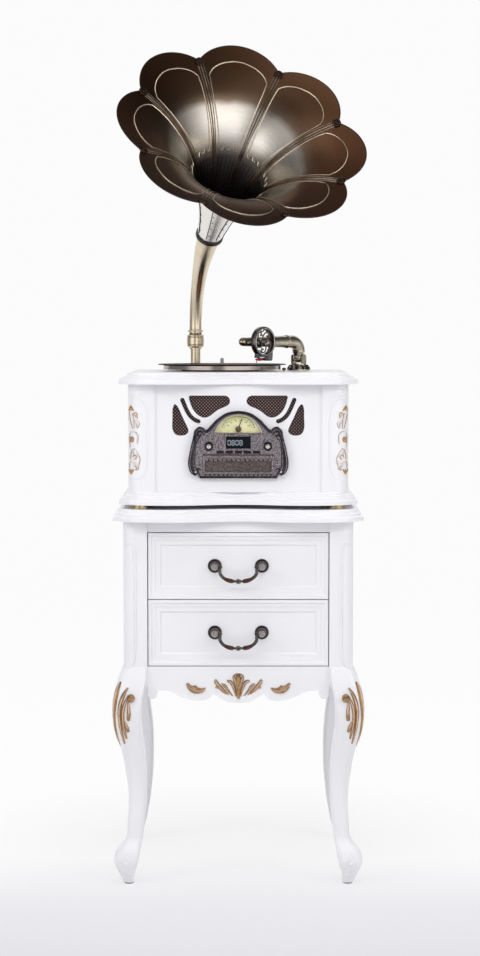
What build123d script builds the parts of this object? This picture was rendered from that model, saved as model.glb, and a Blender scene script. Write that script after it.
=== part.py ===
from build123d import *
import os
from math import atan2, cos, degrees, radians, sin, sqrt

# A floor-standing gramophone-style music centre: a two-drawer cabinet on cabriole legs carries a player
# with a radio, a disc tray and a turntable, and a petalled horn stands on the player's deck.
# Millimetres. X to the right as seen from the front, Y to the back, Z up, origin on the floor under
# the middle of the cabinet. The front faces -Y.

# ---------------------------------------------------------------- cabinet: driving sizes
case_width = 436.0          # over the outer faces of the corner posts
case_depth = 374.0
post_size = 46.0            # square section of a corner post
post_round = 20.0           # quarter round on a post's outer corner
case_top_z = 693.5          # top of the posts
case_floor_z = 417.0        # underside of the drawers' opening
glide_thickness = 2.0
glide_radius = 9.0
top_thickness = 22.5
top_overhang = 19.5         # past the posts at the sides
lobe_x_share = 0.57         # where the serpentine front swells, as a share of the half width
wave_depth = 25.0           # from the swell back to the middle of a serpentine front
corner_cant = 20.0
panel_thickness = 12.0
panel_setback = 8.0         # side panels stand back from the posts' faces
back_thickness = 6.0
top_rail_height = 21.0
top_rail_thickness = 18.0
dust_board_thickness = 10.0
apron_thickness = 18.0
apron_setback = 4.0         # the same as the drawers', so that apron and drawer fronts are flush
apron_flat_z = 371.0        # the apron's straight lower edge
apron_lobe_drop = 19.5
apron_cusp_drop = 7.0
apron_centre_drop = 24.0
apron_scroll_radius = 9.5

# ---------------------------------------------------------------- drawers
drawer_gap = 1.6
drawer_setback = 4.0        # the fronts stand back from the posts' faces
drawer_front_thickness = 18.0
frame_land = 6.0            # flat outer border of a drawer front
frame_step = 12.5
frame_width = 23.0          # border up to the sunk panel
panel_sink = 5.5
drawer_wall = 10.0
drawer_bottom = 4.0
drawer_bottom_lift = 8.0    # from the foot of the drawer's sides
drawer_box_height = 95.0
drawer_back_gap = 26.0      # between a closed drawer's box and the case's back
runner_height = 30.0
runner_thickness = 10.0
runner_groove_depth = 7.0
strip_height = 12.0
strip_clearance = 0.6
rail_to_box_clearance = 1.0

# ---------------------------------------------------------------- drawer handles
rosette_spacing = 89.0
rosette_radius = 13.2
rosette_thickness = 3.5
handle_post_radius = 4.6
handle_knob_radius = 6.2
handle_reach = 18.0         # bail pivot's distance from the drawer front's land
bail_half_width = 36.0
bail_drop = 27.0
bail_squareness = 2.6       # exponent of the bail's curve: 2 is an ellipse, more is squarer
bail_pin_radius = 1.8
bail_pin_clearance = 0.08
bail_eye_radius = 2.9
bail_bead_radius = 4.4
# distance from the bail's middle, and its radius there
bail_sections = ((0, 3.0), (7, 2.3), (13, 3.6), (20, 3.8), (27, 3.2), (32, 2.7), (35, 2.5), (36, 2.2))

# ---------------------------------------------------------------- gilt carving
carving_thickness = 3.0
knee_ball_x = 198.5
knee_ball_z = 357.5
knee_ball_radius = 7.6

# ---------------------------------------------------------------- player: box
player_width = 418.0
player_depth = 352.0
player_foot_height = 8.2
player_foot_radius = 18.0
player_foot_inset = 23.0
plinth_thickness = 22.8
player_wall_height = 204.4
deck_thickness = 22.4
deck_overhang = 17.0
player_post_size = 51.0
player_post_round = 26.0
vine_height = 132.0
front_panel_thickness = 12.0
front_panel_setback = 4.0
player_panel_thickness = 10.0

# ---------------------------------------------------------------- radio fascia, measured from its foot
fascia_thickness = 8.0
fascia_foot_above_plinth = 27.0
fascia_height = 127.5
fascia_foot_half_width = 73.0
fascia_half_width = 95.0
dial_half_width = 44.0
dial_height = 35.0
dial_foot_z = 85.7
display_size = (46.6, 22.8)
display_z = 67.8
knob_x = 55.5
knob_z = 60.5
knob_radius = 8.2
knob_depth = 11.0
knob_recess = 3.0           # depth of the round sink behind each knob
shaft_radius = 3.0
shaft_clearance = 0.3       # through the plates
bush_clearance = 0.06       # in the parts that carry a turning shaft
button_pitch = 17.0
button_size = (13.0, 5.0)
button_z = 49.6
button_clearance = 0.35
button_proud = 1.6
button_travel = 1.2
tray_front_size = (134.0, 37.0)
tray_foot_z = 6.3
tray_clearance = 0.6
tray_length = 128.0
tray_thickness = 9.0
board_thickness = 1.6
disc_recess_radius = 60.5
pointer_hub_z = 92.8
pointer_shaft_radius = 2.0
pointer_length = 21.0
pointer_tilt = 19.0         # clockwise from upright, seen from the front

# ---------------------------------------------------------------- speakers and electronics
grille_thickness = 0.8
slot_radius = 4.1           # half the width of the curved grille slot
speaker_x = 84.0
speaker_z = 118.0           # above the fascia's foot
speaker_radius = 40.0
speaker_depth = 30.0
speaker_neck_radius = 17.0
cone_thickness = 1.2
magnet_radius = 20.0
magnet_height = 12.0
amplifier_corner = (-130.0, 20.0)
amplifier_size = (190.0, 100.0)
amplifier_stand_off = 8.0
transformer_height = 44.0
heat_sink_height = 30.0
heat_sink_fins = 7
heat_sink_pitch = 9.6
connector_x = 60.0
connector_z = 60.0          # above the plinth
connector_half_size = (45.0, 18.0)
socket_pitch = 17.0

# ---------------------------------------------------------------- turntable
spindle_x = -32.0
spindle_y = -10.0
record_radius = 125.0
record_thickness = 1.8
label_radius = 52.0
groove_depth = 0.3
platter_radius = 115.0
platter_height = 9.0
platter_rise = 3.0          # platter's underside above the deck
platter_plate = 5.0
spindle_radius = 3.3        # where it stands out above the record
spindle_above_record = 11.5
spindle_nose = 2.0          # rounding of the spindle's end
record_seat_radius = 3.6    # through the platter and the record's hole
record_clearance = 0.04
spindle_clearance = 0.02    # between the spindle and the platter's hole
hub_radius = 60.0           # belt runs on this ring
hub_wall = 5.0
hub_drop = 8.0
well_radius = 104.0
well_depth = 7.5
belt_width = 4.0
belt_thickness = 0.8
belt_clearance = 0.05
pulley_radius = 8.0
pulley_distance = 82.0
bearing_radius = 4.0
bearing_clearance = 0.05
bearing_length = 38.0
bearing_floor = 3.0
motor_shaft_radius = 1.0
motor_radius = 17.0
motor_height = 26.0
lever_x = 87.5
lever_y = -100.0
lever_travel = 8.0          # to each side of the middle

# ---------------------------------------------------------------- tonearm
arm_x = 120.0
arm_y = 60.0
arm_heading = 225.0         # degrees from +X: to the left and to the front
arm_base_radius = 23.0
arm_base_height = 10.0
arm_shaft_radius = 5.0
arm_shaft_length = 22.0
arm_pivot_height = 26.0     # lift pivot above the deck
arm_axis_height = 57.0      # tube's centre line above the deck
arm_root_radius = 12.6
arm_nose_radius = 8.4
arm_length = 166.0
arm_nose_x = 156.0          # where the tube's round nose begins
arm_ball_radius = 10.8      # on the lift pin
arm_bend = 20.0
arm_wall = 1.8
lift_pin_radius = 2.0
lift_pin_clearance = 0.06
sound_box_at = 123.0
sound_box_radius = 29.6
sound_box_thickness = 13.0
sound_box_rim = 4.6
sound_box_offset = 21.0     # middle of the sound box from the tube's centre line
cartridge_height = 14.0
cartridge_width = 11.0
cartridge_reach = (-18.0, 19.0)     # along the arm, from the middle of the sound box
guard_reach = (-3.0, 24.0)
guard_height = 5.0
stylus_at = 18.0
stylus_gap = 0.6            # between the stylus and the record at rest

# ---------------------------------------------------------------- horn
horn_x = -87.0
horn_y = 140.0
socket_radius = 10.0
socket_wall = 1.5
socket_clearance = 0.2      # in the deck's hole
socket_flange_radius = 24.0
socket_flange_height = 6.0
collar_foot = 42.0          # above the deck
collar_height = 42.0
collar_radius = 17.5
collar_clearance = 0.06
socket_engagement = 26.0    # length of pipe inside the collar
elbow_radius = 217.6
elbow_bend = 49.6           # degrees from upright
elbow_straight = 24.2       # straight run after the bend
elbow_wall = 1.5
elbow_radii = (12.4, 12.6, 13.2, 14.6, 17.2, 20.4, 24.0)
horn_azimuth = 18.0         # to the right of straight ahead
seam_radius = 209.0         # where two petals meet at the rim
petal_reach = 241.0         # tip of a petal from the horn's axis
petals = 8
petal_phase = 12.2          # angle of the first seam
horn_sheet = 1.2
throat_ring_length = 6.0
throat_ring_thickness = 2.4
throat_ring_gap = 1.1       # clears the horn's flare over the ring's length
seam_rosette_radius = 11.0
seam_rosette_thickness = 3.0
# inner radius of the horn against distance from its throat
horn_curve = (
    (0, 22.8), (55, 32), (105, 46), (150, 63), (195, 90), (230, 124), (257, 165), (274, 207), (286, 246)
)

# ---------------------------------------------------------------- worked-out levels and places
case_half_width = case_width / 2
case_half_depth = case_depth / 2
top_z = case_top_z + top_thickness
plinth_z = top_z + player_foot_height
wall_z = plinth_z + plinth_thickness
deck_under_z = wall_z + player_wall_height
deck_z = deck_under_z + deck_thickness
player_half_width = player_width / 2
player_half_depth = player_depth / 2
panel_face_y = -(player_half_depth - front_panel_setback)
panel_back_y = panel_face_y + front_panel_thickness
fascia_face_y = panel_face_y - fascia_thickness
fascia_z = wall_z + fascia_foot_above_plinth
drawer_face_y = -(case_half_depth - drawer_setback)
drawer_height = (case_top_z - top_rail_height - case_floor_z - 3 * drawer_gap) / 2
opening_half = case_half_width - post_size
platter_z = deck_z + platter_rise
record_z = platter_z + platter_height
tube_z = deck_z + arm_axis_height
lift_z = deck_z + arm_pivot_height


# ---------------------------------------------------------------- helpers
def save(name, *shapes):
    """Writes one sub-part: each shape's solids, kept apart."""
    solids = [s for shape in shapes for s in shape.solids()]
    export_step(Compound(solids), f"parts/{name}.step")


def block(x, y, z):
    """A box between two values on each axis."""
    size = (x[1] - x[0], y[1] - y[0], z[1] - z[0])
    return Pos(x[0], y[0], z[0]) * Box(*size, align=(Align.MIN,) * 3)


def bar(radius, height, foot=(0, 0, 0)):
    """An upright cylinder standing on a point."""
    return Pos(*foot) * Cylinder(radius, height, align=(Align.CENTER, Align.CENTER, Align.MIN))


def tube(outer, inner, height, foot=(0, 0, 0)):
    return bar(outer, height, foot) - bar(inner, height, foot)


def front_plate(outline, face_y, thickness):
    """A face drawn in X and Z, made a plate whose front is at face_y."""
    return extrude(Plane.XZ.offset(-face_y) * outline, -thickness)


def front_bar(radius, x, z, face_y, length):
    """A cylinder along Y whose front end is at face_y."""
    return front_plate(Pos(x, z) * Circle(radius), face_y, length)


def both_sides(shape):
    return [shape, mirror(shape, Plane.YZ)]


def four_corners(shape):
    return [s for side in both_sides(shape) for s in (side, mirror(side, Plane.XZ))]


# ---------------------------------------------------------------- moulded boards
def serpentine_outline(half_width, half_depth, front_reach):
    """A board seen from above: a waved front with canted corners, straight sides and back."""
    lobe_x = half_width * lobe_x_share
    turn_x = lobe_x / 2
    lobe_y = -(half_depth + front_reach)
    turn_y = lobe_y + wave_depth / 2
    end_x = 1.5 * lobe_x
    corner = (half_width - corner_cant, turn_y + wave_depth / 3)
    right = (half_width, corner[1] + corner_cant)
    middle = ThreePointArc((-turn_x, turn_y), (0, lobe_y + wave_depth), (turn_x, turn_y))
    lobe = ThreePointArc((turn_x, turn_y), (lobe_x, lobe_y), (end_x, turn_y))
    side = Polyline((end_x, turn_y), corner, right, (half_width, half_depth))
    left_lobe = mirror(lobe, Plane.YZ)
    left_side = mirror(side, Plane.YZ)
    back = Line((half_width, half_depth), (-half_width, half_depth))
    return make_face(Curve() + [middle, lobe, side, back, left_lobe, left_side])


def moulded_board(outline, foot_z, tiers, thickness):
    """Tiers of (share of the thickness, inset, radius of the upper edge), from the bottom up."""
    board = []
    z = foot_z
    for share, inset, radius in tiers:
        face = outline if inset == 0 else offset(outline, amount=-inset, kind=Kind.INTERSECTION)
        tier = extrude(Pos(0, 0, z) * face, share * thickness)
        board.append(fillet(tier.faces().sort_by(Axis.Z)[-1].edges(), radius))
        z += share * thickness
    return board[0] + board[1:]


def cabinet_top():
    outline = serpentine_outline(case_half_width + top_overhang, case_half_depth + top_overhang, 12)
    tiers = [(0.44, 0, 3), (0.28, 7, 3.5), (0.28, 14, 4.5)]
    return moulded_board(outline, case_top_z, tiers, top_thickness)


def player_outline():
    return serpentine_outline(player_half_width + deck_overhang, player_half_depth + deck_overhang, 11)


# ---------------------------------------------------------------- cabriole legs
# height, outer face and inner face from the case's middle plane at the sides, outer round, other rounds
leg_stations = (
    (case_floor_z, 1.0, -42.0, post_round, 3.0),
    (388.0, 12.0, -42.0, 19.0, 3.5),
    (352.0, 18.6, -35.0, 18.0, 5.0),
    (315.0, 17.0, -33.0, 18.0, 7.0),
    (283.0, 10.8, -36.2, 17.0, 8.0),
    (248.0, 2.4, -40.9, 16.0, 9.0),
    (213.0, -3.6, -43.0, 14.0, 10.0),
    (178.0, -7.7, -43.2, 13.0, 10.5),
    (143.0, -8.4, -41.8, 12.5, 10.5),
    (108.0, -6.2, -38.2, 12.5, 10.5),
    (84.0, -2.4, -35.2, 12.5, 10.5),
    (70.0, 10.0, -32.4, 15.0, 11.0),
    (56.0, 17.2, -29.8, 17.0, 11.0),
    (42.0, 18.2, -27.2, 17.0, 11.0),
    (26.0, 12.2, -22.4, 15.0, 10.0),
    (12.0, 5.2, -20.0, 11.0, 8.0),
    (glide_thickness, 0.5, -19.4, 8.0, 6.0),
)
rear_foot_share = 0.4       # how far the rear feet's scrolls stand out, against the front ones


def rear_station(z, outer, inner, outer_round, other_round):
    """A front leg's station made into a rear one, whose foot has a smaller scroll."""
    if z < 80 and outer > 0:
        outer *= rear_foot_share
    return z, outer, inner, min(outer_round, 14.0), other_round


def leg_section(z, outer, inner, outer_round, other_round):
    """A rounded square about the diagonal of the front right post, at one height."""
    size = outer - inner
    x = case_half_width + (outer + inner) / 2
    y = case_half_depth + (outer + inner) / 2
    half = size / 2
    ro, ri = outer_round, other_round
    root = 1 - sqrt(0.5)
    lines = [
        Line((-half + ri, -half), (half - ri, -half)),
        ThreePointArc((half - ri, -half), (half - ri * root, -half + ri * root), (half, -half + ri)),
        Line((half, -half + ri), (half, half - ro)),
        ThreePointArc((half, half - ro), (half - ro * root, half - ro * root), (half - ro, half)),
        Line((half - ro, half), (-half + ri, half)),
        ThreePointArc((-half + ri, half), (-half + ri * root, half - ri * root), (-half, half - ri)),
        Line((-half, half - ri), (-half, -half + ri)),
        ThreePointArc((-half, -half + ri), (-half + ri * root, -half + ri * root), (-half + ri, -half)),
    ]
    return Pos(x, y, z) * make_face(Curve() + lines)


def cabriole_leg(stations, grow=0.0):
    """A right-hand leg at the back: a square post with a quarter round, growing into the curved leg."""
    curved = loft([leg_section(z, o + grow, i - grow, ro + grow, ri + grow) for z, o, i, ro, ri in stations])
    if grow:
        return curved
    post_foot = apron_flat_z + 9
    post = extrude(leg_section(post_foot, 0, -post_size, post_round, 1.5), case_top_z - post_foot)
    return post + curved


def front_legs():
    return both_sides(mirror(cabriole_leg(leg_stations), Plane.XZ))


def rear_legs():
    return both_sides(cabriole_leg([rear_station(*station) for station in leg_stations]))


def foot_glide():
    foot = (leg_stations[-1][1] + leg_stations[-1][2]) / 2
    return bar(glide_radius, glide_thickness, (case_half_width + foot, case_half_depth + foot, 0))


# ---------------------------------------------------------------- case boards and aprons
def case_boards():
    """Two side panels, a back, a board under the drawers, a rail over them, and the side and rear aprons."""
    inner_x = opening_half
    outer_x = case_half_width - panel_setback
    side_reach = case_half_depth - post_size
    back_face = case_half_depth - panel_setback
    height = (case_floor_z, case_top_z)
    side = block((outer_x - panel_thickness, outer_x), (-side_reach, side_reach), height)
    back = block((-inner_x, inner_x), (back_face - back_thickness, back_face), height)
    dust = block(
        (-inner_x, inner_x),
        (drawer_face_y + apron_thickness, back_face - apron_thickness),
        (case_floor_z - dust_board_thickness, case_floor_z),
    )
    rail = block(
        (-inner_x, inner_x),
        (drawer_face_y, drawer_face_y + top_rail_thickness),
        (case_top_z - top_rail_height, case_top_z),
    )
    return both_sides(side) + [back, dust, rail] + side_and_rear_aprons()


def front_apron():
    """A scalloped board with a centre lobe, two side lobes and a small scroll against each leg."""
    half = opening_half
    cusp = (0.29 * half, apron_flat_z - apron_cusp_drop)
    lobe = (0.415 * half, apron_flat_z - apron_lobe_drop)
    start = (0.81 * half, apron_flat_z)
    centre = (0, apron_flat_z - apron_centre_drop)
    side_edge = Spline(
        start, (0.68 * half, apron_flat_z - 0.4 * apron_lobe_drop), lobe,
        (0.33 * half, apron_flat_z - 0.8 * apron_lobe_drop), cusp,
        tangents=((-1, 0), (-0.2, 1)),
    )
    centre_edge = Spline(
        cusp, (0.18 * half, apron_flat_z - 0.72 * apron_centre_drop), centre, tangents=((-1, -0.25), (-1, 0))
    )
    half_lines = [
        Line((half, case_floor_z), (half, apron_flat_z)),
        Line((half, apron_flat_z), start),
        side_edge,
        centre_edge,
    ]
    lines = half_lines + [mirror(line, Plane.YZ) for line in half_lines]
    lines.append(Line((half, case_floor_z), (-half, case_floor_z)))
    outline = make_face(Curve() + lines)
    scroll_x = half - apron_scroll_radius
    for side in (-1, 1):
        place = Pos(side * scroll_x, apron_flat_z - 0.7 * apron_scroll_radius)
        outline += place * Circle(apron_scroll_radius)
    return front_plate(outline, -(case_half_depth - apron_setback), apron_thickness)


def plain_apron(half, thickness):
    """A side or rear apron: one shallow scallop, drawn along X with its front at y = 0."""
    dip = (0.45 * half, apron_flat_z - 0.6 * apron_lobe_drop)
    start = (0.85 * half, apron_flat_z)
    edge = Spline(start, dip, (0, apron_flat_z - 0.25 * apron_lobe_drop), tangents=((-1, 0), (-1, 0)))
    half_lines = [Line((half, case_floor_z), (half, apron_flat_z)), Line((half, apron_flat_z), start), edge]
    lines = half_lines + [mirror(line, Plane.YZ) for line in half_lines]
    lines.append(Line((half, case_floor_z), (-half, case_floor_z)))
    return front_plate(make_face(Curve() + lines), 0, thickness)


def side_and_rear_aprons():
    side_half = case_half_depth - post_size
    place = Pos(case_half_width - panel_setback, 0, 0) * Rot(0, 0, 90)
    side = place * plain_apron(side_half, panel_thickness)
    rear = plain_apron(opening_half, apron_thickness)
    rear = Pos(0, case_half_depth - panel_setback, 0) * Rot(0, 0, 180) * rear
    return both_sides(side) + [rear]


# ---------------------------------------------------------------- drawers
def drawer_foot(level):
    """Underside of a drawer front: 0 is the lower drawer, 1 the upper."""
    return case_floor_z + drawer_gap + level * (drawer_height + drawer_gap)


def drawer_middle(level):
    return drawer_foot(level) + drawer_height / 2


def drawer_front(level):
    half = opening_half - drawer_gap
    z = drawer_foot(level)
    deep = (drawer_face_y, drawer_face_y + drawer_front_thickness)
    plate = block((-half, half), deep, (z, z + drawer_height))
    for inset, depth, slope in (
        (frame_land, 0.35 * panel_sink, 35),
        (frame_step, 0.6 * panel_sink, 20),
        (frame_width - 4, panel_sink, 45),
    ):
        opening = Rectangle(2 * (half - inset), drawer_height - 2 * inset)
        face = Plane.XZ.offset(-drawer_face_y) * Pos(0, drawer_middle(level)) * opening
        plate -= extrude(face, -depth, taper=slope)
    return plate


def drawer_box(level):
    """Two sides, a back and a bottom, with the wooden strips that slide in the case's runners."""
    outer = opening_half - runner_thickness - rail_to_box_clearance
    front_y = drawer_face_y + drawer_front_thickness
    rear_y = case_half_depth - panel_setback - back_thickness - drawer_back_gap
    foot = drawer_middle(level) - drawer_box_height / 2
    head = foot + drawer_box_height
    inner = outer - drawer_wall
    side = block((inner, outer), (front_y, rear_y), (foot, head))
    back = block((-inner, inner), (rear_y - drawer_wall, rear_y), (foot, head))
    bottom_z = foot + drawer_bottom_lift
    bottom = block((-inner, inner), (front_y, rear_y - drawer_wall), (bottom_z, bottom_z + drawer_bottom))
    strip_reach = rail_to_box_clearance + runner_groove_depth - strip_clearance
    middle = drawer_middle(level)
    high = (middle - strip_height / 2, middle + strip_height / 2)
    strip = block((outer, outer + strip_reach), (front_y + 10, rear_y), high)
    return both_sides(side + strip) + [back, bottom]


def drawer_runners():
    """Grooved rails fixed between the front and rear posts, two for each drawer."""
    inner = opening_half - runner_thickness
    front_y = drawer_face_y + drawer_front_thickness
    rear_y = case_half_depth - panel_setback - back_thickness
    groove = strip_height / 2 + strip_clearance
    rails = []
    for level in (0, 1):
        middle = drawer_middle(level)
        rail = block(
            (inner, opening_half), (front_y, rear_y), (middle - runner_height / 2, middle + runner_height / 2)
        )
        high = (middle - groove, middle + groove)
        rail -= block((inner, inner + runner_groove_depth), (front_y, rear_y), high)
        rails += both_sides(rail)
    return rails


def handle_pivot(level):
    """Height and depth of a bail's pivot line."""
    return drawer_middle(level), drawer_face_y - handle_reach


def handle_posts(level):
    """A domed rosette and a turned post on each side, with a blind hole for the bail's pin."""
    z, pivot_y = handle_pivot(level)
    x = rosette_spacing / 2
    rim = 0.45 * rosette_thickness
    reach = handle_reach + panel_sink
    neck = reach - handle_knob_radius
    profile = Polyline(
        (0, 0),
        (rosette_radius, 0),
        (rosette_radius, rim),
        (0.75 * rosette_radius, rosette_thickness),
        (handle_post_radius, rosette_thickness),
        (handle_post_radius, neck),
        (handle_knob_radius, neck + 2),
        (handle_knob_radius, reach + 2),
        (0.7 * handle_knob_radius, reach + 4.5),
        (0, reach + 5.2),
        close=True,
    )
    post = Pos(x, drawer_face_y + panel_sink, z) * Rot(0, 0, 180) * revolve(make_face(profile), Axis.Y)
    hole = sideways_bar(bail_pin_radius + bail_pin_clearance, bail_half_width, bail_pin_end() + 1, pivot_y, z)
    return both_sides(post - hole)


def bail_pin_end():
    return rosette_spacing / 2 + 1


def sideways_bar(radius, x0, x1, y, z):
    return Pos(x0, y, z) * Rot(0, 90, 0) * bar(radius, x1 - x0)


def bail_section(x, radius, pivot_y, z):
    """A round section of the bail, square to its curve."""
    share = abs(x) / bail_half_width
    side = 1 if x > 0 else -1
    n = bail_squareness
    if share >= 1:
        place, heading = (x, pivot_y, z), (0, 0, side)
    else:
        left = 1 - share**n
        slope = bail_drop / bail_half_width * share ** (n - 1) * left ** (1 / n - 1)
        place, heading = (x, pivot_y, z - bail_drop * left ** (1 / n)), (1, 0, side * slope)
    return Plane(origin=place, x_dir=(0, 1, 0), z_dir=heading) * Circle(radius)


def handle_bail(level):
    """A drop bail, thick at the quarters with a bead in the middle, and a pin at each end."""
    z, pivot_y = handle_pivot(level)
    stations = [(-x, radius) for x, radius in reversed(bail_sections)] + list(bail_sections[1:])
    bail = loft([bail_section(x, radius, pivot_y, z) for x, radius in stations])
    bead = Polyline(
        (-bail_bead_radius, 0),
        (-bail_bead_radius, 0.6 * bail_bead_radius),
        (-1, bail_bead_radius),
        (1, bail_bead_radius),
        (bail_bead_radius, 0.6 * bail_bead_radius),
        (bail_bead_radius, 0),
        close=True,
    )
    bail += Pos(0, pivot_y, z - bail_drop) * revolve(make_face(bead), Axis.X)
    ends = sideways_bar(bail_eye_radius, bail_half_width - 2.4, bail_half_width + 1.6, pivot_y, z)
    ends += sideways_bar(bail_pin_radius, bail_half_width, bail_pin_end(), pivot_y, z)
    return bail + ends + mirror(ends, Plane.YZ)


# ---------------------------------------------------------------- gilt carving
def flat_leaf(length, width, thickness):
    """A leaf drawn along +X from its stalk, lying in XY."""
    edge = Spline((0, 0), (0.3 * length, 0.5 * width), (length, 0), tangents=((0.3, 1), (1, -0.35)))
    other = Spline((0, 0), (0.3 * length, -0.5 * width), (length, 0), tangents=((0.3, -1), (1, 0.35)))
    return extrude(make_face(Curve() + [edge, other]), thickness)


def cabinet_carvings():
    """A palmette on the apron with a leaf on each side, and a leafy shield and a ball on each front knee."""
    to_front = Pos(0, -(case_half_depth - apron_setback), apron_flat_z) * Rot(90, 0, 0)
    palmette = bar(6, carving_thickness)
    for turn, length in ((90, 30), (62, 32), (118, 32), (37, 37), (143, 37), (14, 42), (166, 42)):
        palmette += Rot(0, 0, turn) * flat_leaf(length, 12, carving_thickness)
    leaf = Pos(49, -1) * Rot(0, 0, 15) * flat_leaf(50, 15, carving_thickness)
    pieces = [to_front * palmette] + [to_front * one for one in both_sides(leaf)]
    leg = cabriole_leg(leg_stations)
    shield = mirror(knee_shield(leg), Plane.XZ)
    ball = Pos(knee_ball_x, -(case_half_depth + 17.5), knee_ball_z) * Sphere(knee_ball_radius)
    return pieces + both_sides(shield) + both_sides(ball - mirror(leg, Plane.XZ))


def knee_shield(leg):
    """A curved shield that follows the outer corner of a rear right knee."""
    grown = cabriole_leg([s for s in leg_stations if 210 < s[0]], carving_thickness * 0.8)
    diagonal = Plane(origin=(case_half_width, case_half_depth, 320), x_dir=(0, 0, 1), z_dir=(1, 1, 0))
    ends = ((64, 0), (-68, 0))
    curves = [
        Spline(ends[0], (44, side * 19), (-8, side * 15), ends[1], tangents=((0, side), (-1, -0.6 * side)))
        for side in (1, -1)
    ]
    cutter = extrude(diagonal.offset(-post_size / 2) * make_face(Curve() + curves), 60)
    return (grown & cutter) - leg


def player_carvings():
    """A vine on each front post's quarter round: a curved strip with a boss, leaves and pointed ends."""
    x = player_half_width - player_post_round
    y = -(player_half_depth - player_post_round)
    middle_z = wall_z + 0.485 * player_wall_height
    diagonal = Plane(origin=(x, y, middle_z), x_dir=(0, 0, 1), z_dir=(1, -1, 0))
    foot = (x, y, middle_z - vine_height / 2)
    ring = tube(player_post_round + 0.6 * carving_thickness, player_post_round, vine_height, foot)
    outline = Circle(9) + Rectangle(vine_height * 0.8, 8)
    for end in (-1, 1):
        outline += Pos(end * vine_height * 0.36, 0) * Ellipse(vine_height * 0.14, 12)
        outline += Pos(end * vine_height * 0.2, 0) * Ellipse(vine_height * 0.09, 14)
    cutter = extrude(diagonal * outline, 2 * player_post_round)
    return both_sides(ring & cutter)


# ---------------------------------------------------------------- player box
def player_feet():
    foot = bar(player_foot_radius, player_foot_height * 0.45)
    foot += bar(player_foot_radius * 0.8, player_foot_height)
    x = player_half_width - player_foot_inset
    y = player_half_depth - player_foot_inset
    return four_corners(Pos(x, y, top_z) * foot)


def player_plinth():
    tiers = [(0.4, 0, 3), (0.22, 4, 2), (0.2, 8.5, 2.5), (0.18, 13, 2.5)]
    return moulded_board(player_outline(), plinth_z, tiers, plinth_thickness)


def player_deck():
    """The lid board: moulded edge, a shallow well for the drive, and holes for what passes through."""
    tiers = [(0.48, 0, 3), (0.24, 9, 3), (0.28, 16, 5)]
    board = moulded_board(player_outline(), deck_under_z, tiers, deck_thickness)
    board -= bar(well_radius, well_depth, (spindle_x, spindle_y, deck_z - well_depth))
    through = deck_thickness * 2
    board -= bar(bearing_radius + 4, through, (spindle_x, spindle_y, deck_under_z - 5))
    px, py = pulley_place()
    board -= bar(pulley_radius / 2, through, (px, py, deck_under_z - 5))
    board -= bar(8, through, (arm_x, arm_y, deck_under_z - 5))
    board -= bar(socket_radius + socket_clearance, through, (horn_x, horn_y, deck_under_z - 5))
    slot_half = lever_travel + 3
    slot = (lever_y - slot_half, lever_y + slot_half)
    board -= block((lever_x - 1.6, lever_x + 1.6), slot, (deck_under_z, deck_z))
    return board


def player_posts():
    x = player_half_width - player_post_size / 2
    y = player_half_depth - player_post_size / 2
    half = player_post_size / 2
    post = block((x - half, x + half), (y - half, y + half), (wall_z, deck_under_z))
    corner = post.edges().filter_by(Axis.Z).sort_by(lambda e: e.center().X + e.center().Y)[-1]
    return four_corners(fillet(corner, player_post_round))


def wing_outline():
    """One large grille opening, drawn for the left side from the fascia's middle line and foot."""
    top = Polyline((-93.4, 152.2), (-92.7, 154.9), (-90.6, 156), (-25, 156), (-20.3, 154.2))
    under = Spline(
        (-20.3, 154.2), (-16.2, 149), (-16.1, 142.2), (-23.6, 135.4), (-34.5, 130.7), (-44.7, 124.4),
        (-54.2, 117), (-62.8, 114.2), (-71.4, 116.2), (-80.1, 122.5), (-86.4, 131.2), (-90.5, 141),
        (-93.4, 152.2),
    )
    return make_face(Curve() + [top, under])


def slot_outline():
    """The curved slot beside the wing, with round ends."""
    points = ((-105.5, 147.6), (-101.3, 137.4), (-96.6, 127), (-91.1, 118.2), (-84, 111.5), (-75.2, 107.4))
    outline = trace(Spline(*points), 2 * slot_radius)
    for end in (points[0], points[-1]):
        outline += Pos(*end) * Circle(slot_radius)
    return outline


def drop_outline():
    """The outermost opening, a drop with its blunt point up."""
    edge = Spline(
        (-118.8, 139.6), (-115, 136), (-109, 124.4), (-102, 109.2), (-96, 96.6), (-94.2, 88), (-99.5, 82),
        (-109, 80.2), (-118.5, 82.6), (-123.4, 90), (-124.6, 106), (-124.3, 122), (-122.8, 135),
        periodic=True,
    )
    return make_face(edge)


def player_front_panel():
    """The panel behind the fascia, pierced by six grille openings and the radio's windows and shafts."""
    half = player_half_width - player_post_size
    panel = block((-half, half), (panel_face_y, panel_back_y), (wall_z, deck_under_z))
    for outline in (wing_outline(), slot_outline(), drop_outline()):
        opening = front_plate(Pos(0, fascia_z) * outline, panel_face_y - 1, front_panel_thickness + 2)
        for one in both_sides(opening):
            panel -= one
    tray_half = tray_front_size[0] / 2 + tray_clearance
    deep = (panel_face_y - 1, panel_back_y + 1)
    tray_low = fascia_z + tray_foot_z - tray_clearance
    tray_high = tray_low + tray_front_size[1] + 2 * tray_clearance
    panel -= block((-tray_half, tray_half), deep, (tray_low, tray_high))
    window_half = dial_half_width + 1
    panel -= block((-window_half, window_half), deep, (fascia_z + button_z - 5, fascia_z + dial_foot_z + 20))
    for side in (-1, 1):
        place = (side * knob_x, fascia_z + knob_z)
        panel -= front_bar(shaft_radius + 1, *place, panel_face_y - 1, front_panel_thickness + 2)
    return panel


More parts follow.
